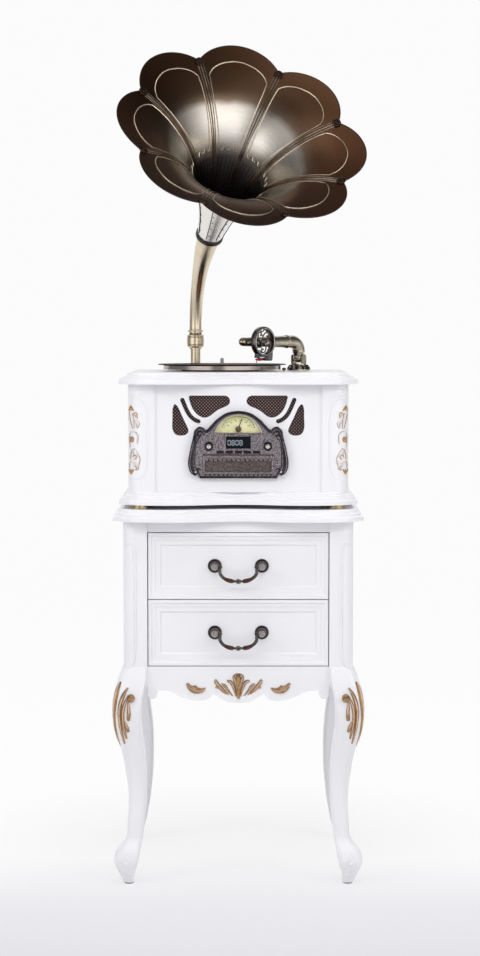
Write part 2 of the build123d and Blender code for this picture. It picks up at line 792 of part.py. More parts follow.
def player_side_and_back_panels():
    inner_y = player_half_depth - player_post_size
    outer_x = player_half_width - front_panel_setback
    side = block((outer_x - player_panel_thickness, outer_x), (-inner_y, inner_y), (wall_z, deck_under_z))
    inner_x = player_half_width - player_post_size
    outer_y = player_half_depth - front_panel_setback
    back = block((-inner_x, inner_x), (outer_y - player_panel_thickness, outer_y), (wall_z, deck_under_z))
    half_x, half_z = connector_half_size
    plate_z = wall_z + connector_z
    reach = (connector_x - half_x, connector_x + half_x)
    back -= block(reach, (0, player_half_depth), (plate_z - half_z, plate_z + half_z))
    return both_sides(side) + [back]


def grille_cloth():
    """Two sheets of woven mesh behind the grille openings."""
    outline = Polyline((12, 162), (128, 162), (128, 76), (50, 76), (50, 111), (12, 111), close=True)
    sheet = front_plate(Pos(0, fascia_z) * make_face(outline), panel_back_y, grille_thickness)
    return both_sides(sheet)


# ---------------------------------------------------------------- speakers
def speakers():
    """Two drivers: a basket ring with a conical frame, a paper cone inside it and a magnet behind."""
    neck = speaker_depth - 10
    mouth = speaker_radius - 9
    ring = Polyline(
        (speaker_radius, 0),
        (speaker_radius, 3),
        (speaker_radius - 6, 5),
        (speaker_neck_radius, neck + 2),
        (speaker_neck_radius, speaker_depth),
        (speaker_neck_radius - 2.5, speaker_depth),
        (speaker_neck_radius - 2.5, neck),
        (mouth, 3),
        (mouth, 0),
        close=True,
    )
    cone = Polyline(
        (mouth - 0.2, 1.5),
        (mouth - 0.2, 2.6),
        (speaker_neck_radius - 2.7, neck),
        (0, neck),
        (0, neck - cone_thickness),
        (speaker_neck_radius - 3.2, neck - cone_thickness),
        close=True,
    )
    place = Pos(magnet_radius / 2, speaker_depth + magnet_height / 2)
    magnet = place * Rectangle(magnet_radius, magnet_height)
    made = []
    for side in (-1, 1):
        place = Pos(side * speaker_x, panel_back_y + grille_thickness, fascia_z + speaker_z)
        made += [place * revolve(profile, Axis.Y) for profile in (make_face(ring), make_face(cone), magnet)]
    return made


# ---------------------------------------------------------------- radio fascia
def fascia_outline():
    """The cast frame: a foot, two side scrolls with ears, and an arch over the dial."""
    ear_top, ear_root = (70, 97), (60, 92)
    half = [
        Line((0, 0), (fascia_foot_half_width, 0)),
        Polyline((fascia_foot_half_width, 0), (fascia_foot_half_width + 5, 7)),
        Spline(
            (fascia_foot_half_width + 5, 7), (88, 10), (fascia_half_width, 28), (91, 52), (85, 68), (85, 82),
            (80, 93), ear_top, tangents=((1, -0.3), (-1, 0)),
        ),
        Spline(ear_top, ear_root, tangents=((-1, 0), (-1, -0.5))),
        Spline(ear_root, (40, 112), (22, 123.5), (0, fascia_height), tangents=((-0.8, 0.8), (-1, 0))),
    ]
    return make_face(Curve() + half + [mirror(line, Plane.YZ) for line in half])


def dial_outline(shrink=0.0):
    """A circle's cap with a flat foot."""
    radius = (dial_half_width**2 + dial_height**2) / (2 * dial_height) - shrink
    centre = dial_foot_z + dial_height - radius - shrink
    cap = Pos(0, centre) * Circle(radius)
    keep = Pos(0, dial_foot_z + shrink + radius) * Rectangle(4 * radius, 2 * radius)
    return cap & keep


def button_x(number):
    return (number - 2) * button_pitch


def radio_fascia():
    plate = front_plate(Pos(0, fascia_z) * fascia_outline(), fascia_face_y, fascia_thickness)
    inner_deep = fascia_thickness + 2
    plate -= front_plate(Pos(0, fascia_z) * dial_outline(), fascia_face_y - 1, inner_deep)
    window = Pos(0, fascia_z + display_z) * Rectangle(*display_size)
    plate -= front_plate(window, fascia_face_y - 1, inner_deep)
    slot = Rectangle(*(side + 2 * tray_clearance for side in tray_front_size))
    slot = Pos(0, fascia_z + tray_foot_z + tray_front_size[1] / 2) * slot
    plate -= front_plate(slot, fascia_face_y - 1, inner_deep)
    for number in range(5):
        hole = Rectangle(button_size[0] + 2 * button_clearance, button_size[1] + 2 * button_clearance)
        plate -= front_plate(Pos(button_x(number), fascia_z + button_z) * hole, fascia_face_y - 1, inner_deep)
    for side in (-1, 1):
        place = (side * knob_x, fascia_z + knob_z)
        plate -= front_bar(shaft_radius + shaft_clearance, *place, fascia_face_y - 1, inner_deep)
        plate -= front_bar(knob_radius + 1, *place, fascia_face_y - 1, 1 + knob_recess)
    return plate


def dial_plate():
    plate = front_plate(Pos(0, fascia_z) * dial_outline(0.1), panel_face_y - 1, 1)
    return plate - front_bar(2.2, 0, fascia_z + pointer_hub_z, panel_face_y - 2, 4)


def dial_glass():
    return front_plate(Pos(0, fascia_z) * dial_outline(0.1), fascia_face_y + 0.6, 1)


def dial_pointer():
    hub_z = fascia_z + pointer_hub_z
    hub_y = panel_face_y - 4.5
    hub = front_bar(5.6, 0, hub_z, hub_y, 2)
    shaft = front_bar(pointer_shaft_radius, 0, hub_z, hub_y, panel_back_y + board_thickness - hub_y)
    needle = Pos(0, pointer_length / 2) * Rectangle(1.3, pointer_length)
    hand = front_plate(Pos(0, hub_z) * Rot(0, 0, -pointer_tilt) * needle, hub_y + 0.9, 1)
    return hub + shaft + hand


def display_module():
    """The clock display in its window, on the control board that also holds the three turning shafts."""
    glass = Pos(0, fascia_z + display_z) * Rectangle(display_size[0] - 0.2, display_size[1] - 0.2)
    screen = front_plate(glass, fascia_face_y + 2, panel_back_y - fascia_face_y - 2)
    outline = Pos(0, fascia_z + knob_z - 2) * Rectangle(2 * knob_x + 20, 22)
    outline += Pos(0, fascia_z + pointer_hub_z - 18) * Rectangle(70, 46)
    board = front_plate(outline, panel_back_y, board_thickness)
    board -= front_bar(pointer_shaft_radius + bush_clearance, 0, fascia_z + pointer_hub_z, panel_face_y, 40)
    controls = []
    for side in (-1, 1):
        place = (side * knob_x, fascia_z + knob_z)
        board -= front_bar(shaft_radius + shaft_clearance, *place, panel_back_y - 1, 4)
        control = front_bar(8.5, *place, panel_back_y + board_thickness, 9)
        controls.append(control - front_bar(shaft_radius + bush_clearance, *place, panel_back_y, 20))
    return [screen, board] + controls


def knob(side):
    """A skirted knob with a domed cap, a grip of flutes and a shaft."""
    x, z = side * knob_x, fascia_z + knob_z
    base_y = fascia_face_y + knob_recess - 0.4
    profile = Polyline(
        (0, 0),
        (knob_radius, 0),
        (knob_radius, 3.2),
        (knob_radius - 1.4, 4.4),
        (5.2, 5.0),
        (5.2, knob_depth - 2.5),
        (3.6, knob_depth - 0.6),
        (0, knob_depth),
        close=True,
    )
    body = revolve(make_face(profile), Axis.Y)
    for turn in range(12):
        a = radians(30 * turn + 15)
        flute = Pos(5.6 * cos(a), 7.2, 5.6 * sin(a)) * Rot(90, 0, 0) * Cylinder(0.8, 3.2)
        body -= flute
    body = Pos(x, base_y, z) * Rot(0, 0, 180) * body
    return body + front_bar(shaft_radius, x, z, base_y, 28)


def function_button(number):
    x, z = button_x(number), fascia_z + button_z
    outline = Pos(x, z) * Rectangle(*button_size)
    cap = front_plate(outline, fascia_face_y - button_proud, fascia_thickness + button_proud)
    cap = fillet(cap.faces().sort_by(Axis.Y)[0].edges(), 0.8)
    stem = front_bar(1.6, x, z, panel_face_y, front_panel_thickness - button_travel - 0.3)
    return cap + stem


# ---------------------------------------------------------------- disc tray
def tray_under():
    return fascia_z + tray_foot_z + 6


def cd_tray():
    """A front plate with a raised border, and a tray with a round disc recess and a spindle slot."""
    half = tray_front_size[0] / 2
    z = fascia_z + tray_foot_z
    front = block((-half, half), (fascia_face_y, fascia_face_y + 4), (z, z + tray_front_size[1]))
    inset = 5.0
    head = z + tray_front_size[1]
    floor_y = fascia_face_y + 1.2
    front -= block((-half + inset, half - inset), (fascia_face_y, floor_y), (z + inset, head - inset))
    inset += 2
    front += block((-half + inset, half - inset), (fascia_face_y + 0.4, floor_y), (z + inset, head - inset))
    low = tray_under()
    bed_half = disc_recess_radius + 3
    front_y = fascia_face_y + 4
    bed = block((-bed_half, bed_half), (front_y, front_y + tray_length), (low, low + tray_thickness))
    disc_y = front_y + 3 + disc_recess_radius
    bed -= bar(disc_recess_radius, 4, (0, disc_y, low + tray_thickness - 3))
    bed -= block((-16, 16), (disc_y - 16, front_y + tray_length), (low, low + tray_thickness))
    return front + bed


def cd_mechanism():
    """A chassis around the tray with a motor hub underneath, standing on the plinth."""
    half = disc_recess_radius + 3 + tray_clearance
    low, high = tray_under() - tray_clearance, tray_under() + tray_thickness + 6
    front_y, rear_y = panel_back_y, panel_back_y + tray_length + 8
    wall = 2.0
    shell = block((-half - wall, half + wall), (front_y, rear_y), (low - wall, high + wall))
    shell -= block((-half, half), (front_y, rear_y - wall), (low, high))
    for x in (-half + 8, half - 8):
        for y in (front_y + 10, rear_y - 10):
            shell += bar(4, low - wall - wall_z, (x, y, wall_z))
    return shell


# ---------------------------------------------------------------- electronics
def amplifier_board():
    """A circuit board on pillars with a transformer, a finned heat sink and two capacitors."""
    (x0, y0), (width, depth) = amplifier_corner, amplifier_size
    x1, y1 = x0 + width, y0 + depth
    z = wall_z + amplifier_stand_off
    top = z + board_thickness
    board = block((x0, x1), (y0, y1), (z, top))
    for x in (x0 + 6, x1 - 6):
        for y in (y0 + 6, y1 - 6):
            board += bar(3, amplifier_stand_off, (x, y, wall_z))
    core = block((x0 + 10, x0 + 64), (y0 + 20, y0 + 76), (top, top + transformer_height))
    winding = block((x0 + 20, x0 + 54), (y0 + 13, y0 + 20), (top + 6, top + transformer_height - 6))
    sink_x, sink_y = x0 + 80, y1 - 20
    sink_width = heat_sink_pitch * (heat_sink_fins - 1) + 2
    sink = block((sink_x, sink_x + sink_width), (sink_y, sink_y + 4), (top, top + heat_sink_height))
    for n in range(heat_sink_fins):
        x = sink_x + heat_sink_pitch * n
        sink += block((x, x + 2), (sink_y - 16, sink_y), (top, top + heat_sink_height))
    capacitors = [bar(9, heat_sink_height, (x, y0 + 30, top)) for x in (x1 - 40, x1 - 16)]
    return [board, core, winding, sink] + capacitors


def rear_connector_plate():
    """A plate in the back panel with a two-pin mains inlet, two line sockets and an aerial post."""
    x, z = connector_x, wall_z + connector_z
    half_x, half_z = (half - 0.2 for half in connector_half_size)
    outer_y = player_half_depth - front_panel_setback
    deep = (outer_y - player_panel_thickness, outer_y - 2)
    plate = block((x - half_x, x + half_x), deep, (z - half_z, z + half_z))
    inlet_x = x + 27
    plate += block((inlet_x - 9, inlet_x + 9), (outer_y - 12, outer_y), (z - 6, z + 6))
    plate -= block((inlet_x - 7, inlet_x + 7), (outer_y - 10, outer_y), (z - 4, z + 4))
    for n in range(3):
        boss = Pos(x - n * socket_pitch, outer_y - 2, z) * Rot(-90, 0, 0)
        plate += boss * bar(5.0, 6)
        plate -= boss * bar(1.6, 8)
    for dx in (-3, 3):
        plate += Pos(inlet_x + dx, outer_y - 10, z) * Rot(-90, 0, 0) * bar(1.2, 7)
    return plate


# ---------------------------------------------------------------- turntable
def pulley_place():
    a = radians(150)
    return spindle_x + pulley_distance * cos(a), spindle_y + pulley_distance * sin(a)


def hub_foot():
    return platter_z - hub_drop


def platter():
    """A dished platter with a rim skirt, an inner belt ring and a hub that the spindle goes through."""
    plate_foot = record_z - platter_plate
    made = bar(platter_radius, platter_plate, (0, 0, plate_foot))
    made = fillet(made.faces().sort_by(Axis.Z)[-1].edges(), 1.5)
    made += tube(platter_radius, platter_radius - 5, plate_foot - platter_z, (0, 0, platter_z))
    made += tube(hub_radius, hub_radius - hub_wall, plate_foot - hub_foot(), (0, 0, hub_foot()))
    made += bar(12, plate_foot - hub_foot(), (0, 0, hub_foot()))
    made -= bar(record_seat_radius + spindle_clearance, 40, (0, 0, hub_foot() - 1))
    return Pos(spindle_x, spindle_y, 0) * made


def platter_spindle():
    """A turned pin: a shaft in the bearing, a seat through platter and record, and a slimmer guiding end."""
    shaft_foot = deck_z - well_depth - bearing_length + bearing_floor + 0.3
    seat_top = record_z + record_thickness
    pin = bar(spindle_radius, spindle_above_record, (0, 0, seat_top))
    made = fillet(pin.faces().sort_by(Axis.Z)[-1].edges(), spindle_nose)
    made += bar(record_seat_radius, seat_top - hub_foot(), (0, 0, hub_foot()))
    made += bar(bearing_radius, hub_foot() - shaft_foot, (0, 0, shaft_foot))
    return Pos(spindle_x, spindle_y, 0) * made


def record():
    """A ten-inch disc with a raised lip, a label area and a centre hole."""
    disc = bar(record_radius, record_thickness, (0, 0, record_z))
    disc = chamfer(disc.edges().filter_by(GeomType.CIRCLE), 0.5)
    groove_z = record_z + record_thickness - groove_depth
    disc -= tube(record_radius - 4, label_radius, groove_depth, (0, 0, groove_z))
    disc -= bar(record_seat_radius + record_clearance, 10, (0, 0, record_z - 2))
    return Pos(spindle_x, spindle_y, 0) * disc


def spindle_bearing():
    """A flanged bush under the platter, fixed in the deck, with a closed floor that carries the shaft."""
    head_z = deck_z - well_depth
    foot_z = head_z - bearing_length
    body = bar(bearing_radius + 3.8, bearing_length, (0, 0, foot_z))
    body += bar(14, 3, (0, 0, deck_under_z - 3))
    body -= bar(bearing_radius + bearing_clearance, 60, (0, 0, foot_z + bearing_floor))
    return Pos(spindle_x, spindle_y, 0) * body


def belt_z():
    return hub_foot() + 3


def motor_pulley():
    x, y = pulley_place()
    made = bar(pulley_radius, belt_width + 1, (x, y, belt_z() - 0.5))
    made += bar(pulley_radius + 1.2, 0.8, (x, y, belt_z() + belt_width + 0.5))
    shaft_foot = deck_under_z - 7
    made += bar(motor_shaft_radius, belt_z() - 0.5 - shaft_foot, (x, y, shaft_foot))
    return made


def drive_belt():
    """A flat belt round the platter's inner ring and the motor pulley."""
    x, y = pulley_place()

    def loop(grow):
        big = Pos(spindle_x, spindle_y) * Circle(hub_radius + grow)
        small = Pos(x, y) * Circle(pulley_radius + grow)
        return make_hull(big.edges() + small.edges())

    ring = loop(belt_clearance + belt_thickness) - loop(belt_clearance)
    return extrude(Pos(0, 0, belt_z()) * ring, belt_width)


def turntable_motor():
    x, y = pulley_place()
    can = bar(motor_radius, motor_height, (x, y, deck_under_z - 2 - motor_height))
    plate = bar(motor_radius + 6, 2, (x, y, deck_under_z - 2))
    return can + plate - bar(motor_shaft_radius + bush_clearance, 40, (x, y, deck_under_z - 8))


def speed_lever():
    x, y = lever_x, lever_y
    stem = block((x - 1, x + 1), (y - 2, y + 2), (deck_z - 12, deck_z + 3))
    cap = bar(3.6, 5, (x, y, deck_z + 2.5))
    return stem + fillet(cap.faces().sort_by(Axis.Z)[-1].edges(), 1.4)


# ---------------------------------------------------------------- tonearm, drawn along +X from its pivot
def arm_place():
    return Pos(arm_x, arm_y, 0) * Rot(0, 0, arm_heading)


def arm_base():
    """A stepped flange with a bush on the deck."""
    profile = Polyline(
        (0, 0),
        (arm_base_radius, 0),
        (arm_base_radius, 2.5),
        (arm_base_radius - 3, 4),
        (arm_base_radius - 4, 7.5),
        (arm_base_radius - 7, arm_base_height),
        (0, arm_base_height),
        close=True,
    )
    base = revolve(make_face(Plane.XZ * profile), Axis.Z)
    base += bar(7.8, 16, (0, 0, -16))
    base -= bar(arm_shaft_radius + bearing_clearance, 60, (0, 0, -30))
    return Pos(arm_x, arm_y, deck_z) * base


def arm_pillar():
    """A turning disc with two ears, the lift pin between them and a shaft in the base's bush."""
    foot = deck_z + arm_base_height + 0.4
    disc = bar(15.5, 3.2, (0, 0, foot))
    disc += bar(arm_shaft_radius, arm_shaft_length, (0, 0, foot - arm_shaft_length))
    ear_y = (arm_root_radius - 1.2, arm_root_radius + 2.8)
    for side in (-1, 1):
        y = sorted((side * ear_y[0], side * ear_y[1]))
        ear = block((-6, 6), y, (foot + 3.2, lift_z))
        ear += Pos(0, y[0], lift_z) * Rot(-90, 0, 0) * bar(6, y[1] - y[0])
        disc += ear
    pin = Pos(0, -ear_y[1], lift_z) * Rot(-90, 0, 0) * bar(lift_pin_radius, 2 * ear_y[1])
    return arm_place() * (disc + pin)


def arm_body(shrink):
    """The tube's quarter bend and the tapered run after it, thinner all round by shrink."""
    root, end = arm_root_radius - shrink, arm_nose_radius - shrink
    bend_z = tube_z - arm_bend
    bend = revolve(Pos(0, 0, bend_z) * Circle(root), Axis((arm_bend, 0, bend_z), (0, 1, 0)), 90)
    run = Cone(root, end, arm_nose_x - arm_bend, align=(Align.CENTER, Align.CENTER, Align.MIN))
    return bend + Pos(arm_bend, 0, tube_z) * Rot(0, 90, 0) * run


def arm_tube_outer():
    """The tube before it is hollowed: a ball and a short taper on the lift pin, the body and a round nose."""
    bend_z = tube_z - arm_bend
    ball = Pos(0, 0, lift_z) * Sphere(arm_ball_radius)
    centred = (Align.CENTER, Align.CENTER, Align.MIN)
    upright = Cone(arm_ball_radius - 1, arm_root_radius, bend_z - lift_z, align=centred)
    reach = arm_length - arm_nose_x
    cap = ThreePointArc((0, arm_nose_radius), (0.72 * reach, 0.7 * arm_nose_radius), (reach, 0))
    nose = make_face(Curve() + [cap, Line((reach, 0), (0, 0)), Line((0, 0), (0, arm_nose_radius))])
    nose = Pos(arm_nose_x, 0, tube_z) * revolve(nose, Axis.X)
    return arm_body(0) + Pos(0, 0, lift_z) * upright + ball + nose


def arm_tube():
    """A tapered tube bent over from its lift pivot, hollow, with a closed nose."""
    pin_hole = Pos(0, -20, lift_z) * Rot(-90, 0, 0) * bar(lift_pin_radius + lift_pin_clearance, 40)
    return arm_place() * (arm_tube_outer() - arm_body(arm_wall) - pin_hole)


def sound_box():
    """An open-work disc in a heavy rim, carried on a short boss on the tube's side."""
    facing = Pos(sound_box_at, sound_box_offset, tube_z) * Rot(-90, 0, 0)
    inner = sound_box_radius - sound_box_rim
    half = sound_box_thickness / 2
    rim = tube(sound_box_radius, inner, sound_box_thickness, (0, 0, -half))
    web = bar(inner, 2, (0, 0, -1))
    for turn in range(6):
        a = radians(60 * turn)
        web -= Pos(0.6 * inner * cos(a), 0.6 * inner * sin(a), 0) * Cylinder(0.22 * inner, 10)
    hub = bar(5.5, half + 1, (0, 0, -1))
    boss = bar(5.5, sound_box_offset - 1, (0, 0, -sound_box_offset))
    made = facing * (rim + web + hub + boss)
    return arm_place() * (made - arm_tube_outer())


def cartridge():
    """A cartridge block under the sound box with a slim stylus guard and a stylus."""
    y = sound_box_offset
    guard_z = record_z + record_thickness + stylus_gap + 5.5
    across = (y - cartridge_width / 2, y + cartridge_width / 2)
    x0, x1 = (sound_box_at + reach for reach in cartridge_reach)
    g0, g1 = (sound_box_at + reach for reach in guard_reach)
    body = block((x0, x1), across, (guard_z + guard_height, guard_z + cartridge_height))
    body += block((x0, g0), across, (guard_z, guard_z + guard_height))
    body -= Pos(sound_box_at, y, tube_z) * Rot(90, 0, 0) * Cylinder(sound_box_radius, 40)
    guard = block((g0, g1), (y - 3.5, y + 3.5), (guard_z, guard_z + guard_height))
    guard = fillet(guard.edges().filter_by(Axis.Y), 1.6)
    down = Pos(sound_box_at + stylus_at, y, guard_z) * Rot(180, 0, 0)
    needle = down * Cone(1.2, 0.25, 5.5, align=(Align.CENTER, Align.CENTER, Align.MIN))
    return arm_place() * (body + guard + needle)


# ---------------------------------------------------------------- horn
def horn_socket():
    """A flange on the deck and the upright pipe that the elbow's collar turns on."""
    flange = bar(socket_flange_radius, 0.5 * socket_flange_height)
    flange += bar(socket_flange_radius - 6, socket_flange_height)
    length = deck_thickness + collar_foot + socket_engagement
    pipe = bar(socket_radius, length, (0, 0, -deck_thickness))
    made = flange + pipe - bar(socket_radius - socket_wall, length + 2, (0, 0, -deck_thickness - 1))
    return Pos(horn_x, horn_y, deck_z) * made


def elbow_point(along):
    """A point on the elbow's centre line and the heading there, for a length along it."""
    bend_length = elbow_radius * radians(elbow_bend)
    a = min(along / bend_length, 1.0) * radians(elbow_bend)
    straight = max(along - bend_length, 0.0)
    out = elbow_radius * (1 - cos(a)) + straight * sin(a)
    up = elbow_radius * sin(a) + straight * cos(a)
    az = radians(horn_azimuth)
    point = (horn_x + out * sin(az), horn_y - out * cos(az), deck_z + collar_foot + collar_height + up)
    heading = (sin(a) * sin(az), -sin(a) * cos(az), cos(a))
    return point, heading


def elbow_length():
    return elbow_radius * radians(elbow_bend) + elbow_straight


def elbow_shape(shrink, over=0.0):
    """The elbow's body, shrunk by a wall and run past both ends to cut with."""
    az = radians(horn_azimuth)
    steps = len(elbow_radii) - 1
    sections = []
    for n, radius in enumerate(elbow_radii):
        point, heading = elbow_point(elbow_length() * n / steps)
        shift = {0: -over, steps: over}.get(n, 0.0)
        origin = tuple(p + shift * h for p, h in zip(point, heading))
        section = Plane(origin=origin, x_dir=(cos(az), sin(az), 0), z_dir=heading)
        sections.append(section * Circle(radius - shrink))
    return loft(sections)


def horn_elbow():
    """A tapered bent pipe with a turned collar that sits on the socket's pipe."""
    r, h = collar_radius, collar_height
    top = elbow_radii[0]
    profile = Polyline(
        (0, 0),
        (12.2, 0),
        (12.2, 2),
        (r - 2.5, 3.5),
        (r, 5.5),
        (r, 7),
        (r - 2, 8),
        (r, 9),
        (r, h - 19),
        (r - 2, h - 18),
        (r, h - 17),
        (r, h - 15),
        (r - 3, h - 13),
        (top + 0.8, h - 10),
        (top + 0.8, h - 8),
        (top + 3, h - 7),
        (top + 3, h - 4.5),
        (top, h - 3),
        (top, h),
        (0, h),
        close=True,
    )
    foot = (horn_x, horn_y, deck_z + collar_foot)
    collar = Pos(*foot) * revolve(make_face(Plane.XZ * profile), Axis.Z)
    bore = bar(socket_radius + collar_clearance, socket_engagement + 0.5, foot)
    path = bar(socket_radius - socket_wall, h + 1, foot)
    return collar + elbow_shape(0) - elbow_shape(elbow_wall, 0.5) - bore - path


def horn_plane():
    point, heading = elbow_point(elbow_length())
    az = radians(horn_azimuth)
    return Plane(origin=point, x_dir=(cos(az), sin(az), 0), z_dir=heading)


def throat_ring():
    """The dark ring round the joint of elbow and horn."""
    inner = elbow_radii[-1] + throat_ring_gap
    return horn_plane() * tube(inner + throat_ring_thickness, inner, throat_ring_length, (0, 0, -0.5))


def horn_wall():
    """The horn's sheet in section, drawn with distance from the throat along Y and radius along X."""
    inner = [(r, t) for t, r in horn_curve]
    outer = []
    for n, (r, t) in enumerate(inner):
        before, after = inner[max(n - 1, 0)], inner[min(n + 1, len(inner) - 1)]
        dr, dt = after[0] - before[0], after[1] - before[1]
        size = sqrt(dr * dr + dt * dt)
        outer.append((r + horn_sheet * dt / size, t - horn_sheet * dr / size))
    outer[0] = (inner[0][0] + horn_sheet, 0)
    lines = [Spline(*inner), Line(inner[-1], outer[-1]), Spline(*outer), Line(outer[0], inner[0])]
    return make_face(Curve() + lines)


def petal_outline():
    """One petal seen along the horn's axis: two seams and a round tip."""
    half = radians(180 / petals)
    seam = (seam_radius * cos(half), seam_radius * sin(half))
    other = (seam[0], -seam[1])
    rim = ThreePointArc(seam, (petal_reach, 0), other)
    return make_face(Curve() + [Line((0, 0), seam), rim, Line(other, (0, 0))])


def horn_petals():
    """Eight flared petals that meet along straight seams."""
    turn = 360 / petals
    section = Plane.XZ * horn_wall()
    wall = revolve(section, Axis.Z, turn)
    wall = Rot(0, 0, -turn / 2) * wall
    length = horn_curve[-1][0]
    petal = wall & extrude(Pos(0, 0, -1) * petal_outline(), length + 2)
    return [horn_plane() * Rot(0, 0, petal_phase + turn * (n + 0.5)) * petal for n in range(petals)]


def seam_rosettes():
    """A small boss over each seam's end at the rim, bedded on the horn's sheet."""
    (t0, r0), (t1, r1) = horn_curve[-3], horn_curve[-2]
    lean = degrees(atan2(t1 - t0, r1 - r0))
    disc = bar(seam_rosette_radius, seam_rosette_thickness * 0.6 + 1, (0, 0, -1))
    disc += bar(seam_rosette_radius * 0.55, seam_rosette_thickness)
    disc = Pos(r1 - 1, 0, t1 + 0.3) * Rot(0, -lean, 0) * disc
    sheet = Rot(0, 0, -15) * revolve(Plane.XZ * horn_wall(), Axis.Z, 30)
    rosette = max((disc - sheet).solids(), key=lambda s: s.volume)
    return [horn_plane() * Rot(0, 0, petal_phase + 360 / petals * n) * rosette for n in range(petals)]


def horn_driver():
    """The pressure driver under the deck that feeds the horn."""
    made = bar(20, 24, (0, 0, -24)) + bar(14, 12, (0, 0, -36))
    made -= bar(socket_radius - socket_wall, 12, (0, 0, -12))
    return Pos(horn_x, horn_y, deck_under_z) * made


# ---------------------------------------------------------------- write every sub-part
def main():
    os.makedirs("parts", exist_ok=True)
    save("cabinet_top", cabinet_top())
    save("front_legs", *front_legs())
    save("rear_legs", *rear_legs())
    save("foot_glides", *four_corners(foot_glide()))
    save("case_boards", *case_boards())
    save("front_apron", front_apron())
    save("drawer_runners", *drawer_runners())
    save("cabinet_carvings", *cabinet_carvings())
    for level, name in ((1, "upper"), (0, "lower")):
        save(f"{name}_drawer_front", drawer_front(level))
        save(f"{name}_drawer_box", *drawer_box(level))
        save(f"{name}_handle_posts", *handle_posts(level))
        save(f"{name}_handle_bail", handle_bail(level))
    save("player_feet", *player_feet())
    save("player_plinth", player_plinth())
    save("player_front_panel", player_front_panel())
    save("player_side_and_back_panels", *player_side_and_back_panels())
    save("player_corner_posts", *player_posts())
    save("player_carvings", *player_carvings())
    save("player_deck", player_deck())
    save("grille_cloth", *grille_cloth())
    save("speakers", *speakers())
    save("radio_fascia", radio_fascia())
    save("dial_plate", dial_plate())
    save("dial_glass", dial_glass())
    save("dial_pointer", dial_pointer())
    save("display_module", *display_module())
    save("volume_knob", knob(-1))
    save("tuning_knob", knob(1))
    for number in range(5):
        save(f"function_button_{number + 1}", function_button(number))
    save("cd_tray", cd_tray())
    save("cd_mechanism", cd_mechanism())
    save("amplifier_board", *amplifier_board())
    save("rear_connector_plate", rear_connector_plate())
    save("platter", platter())
    save("platter_spindle", platter_spindle())
    save("record", record())
    save("spindle_bearing", spindle_bearing())
    save("turntable_motor", turntable_motor())
    save("motor_pulley", motor_pulley())
    save("drive_belt", drive_belt())
    save("speed_lever", speed_lever())
    save("arm_base", arm_base())
    save("arm_pillar", arm_pillar())
    save("arm_tube", arm_tube())
    save("sound_box", sound_box())
    save("cartridge", cartridge())
    save("horn_socket", horn_socket())
    save("horn_elbow", horn_elbow())
    save("throat_ring", throat_ring())
    save("horn_petals", *horn_petals())
    save("seam_rosettes", *seam_rosettes())
    save("horn_driver", horn_driver())


main()
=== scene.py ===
from contextlib import contextmanager
from math import acos, atan2, cos, degrees, hypot, pi, radians, sin, sqrt, tau

import bmesh
import bpy
from mathutils import Matrix, Vector


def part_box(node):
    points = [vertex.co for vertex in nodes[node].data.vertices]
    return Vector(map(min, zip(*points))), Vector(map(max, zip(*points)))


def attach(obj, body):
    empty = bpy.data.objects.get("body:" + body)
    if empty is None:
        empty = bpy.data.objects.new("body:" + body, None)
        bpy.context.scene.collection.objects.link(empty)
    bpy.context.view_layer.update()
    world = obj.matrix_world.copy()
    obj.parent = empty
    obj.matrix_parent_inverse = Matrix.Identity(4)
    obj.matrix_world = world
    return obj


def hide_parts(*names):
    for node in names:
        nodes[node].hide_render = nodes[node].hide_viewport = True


# A gramophone-style music centre: a white two-drawer cabinet, a player with a radio fascia and a
# turntable, and a petalled horn on a brass elbow. The frame is in metres, the sizes below are in
# millimetres. X is to the right, the front faces -Y and Z is up.

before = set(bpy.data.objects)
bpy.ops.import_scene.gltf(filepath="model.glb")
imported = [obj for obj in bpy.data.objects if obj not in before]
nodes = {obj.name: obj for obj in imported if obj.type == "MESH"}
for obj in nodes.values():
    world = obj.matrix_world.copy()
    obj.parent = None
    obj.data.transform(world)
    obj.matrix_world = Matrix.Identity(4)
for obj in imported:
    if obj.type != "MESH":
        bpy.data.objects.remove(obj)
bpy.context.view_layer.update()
MM = 0.001


# ---------------------------------------------------------------- node trees
def new_material(name):
    """A node material, its tree and its main shader."""
    material = bpy.data.materials.new(name)
    material.use_nodes = True
    tree = material.node_tree
    return material, tree, tree.nodes["Principled BSDF"]


def node(tree, kind, inputs=None, **properties):
    """A shader node whose inputs are given as values or as the sockets that feed them."""
    made = tree.nodes.new("ShaderNode" + kind)
    for name, value in properties.items():
        setattr(made, name, value)
    for name, value in (inputs or {}).items():
        if isinstance(value, bpy.types.NodeSocket):
            tree.links.new(value, made.inputs[name])
        else:
            made.inputs[name].default_value = value
    return made


def ramp(tree, value, stops, interpolation="LINEAR"):
    """A colour band read at value, from (position, colour) stops."""
    made = node(tree, "ValToRGB", {"Fac": value})
    band = made.color_ramp
    band.interpolation = interpolation
    while len(band.elements) < len(stops):
        band.elements.new(0.5)
    for element, (position, colour) in zip(band.elements, stops):
        element.position = position
        element.color = (*colour, 1.0)
    return made.outputs["Color"]


def grey(value):
    """A neutral colour."""
    return (value, value, value)


def level(tree, value, low, high):
    """A 0 to 1 value turned into one between low and high."""
    return node(tree, "MapRange", {"Value": value, "To Min": low, "To Max": high}).outputs["Result"]


def maths(tree, operation, first, second=0.0, third=0.5):
    """One sum on values or sockets; the third is only used by MULTIPLY_ADD."""
    return node(tree, "Math", {0: first, 1: second, 2: third}, operation=operation).outputs["Value"]


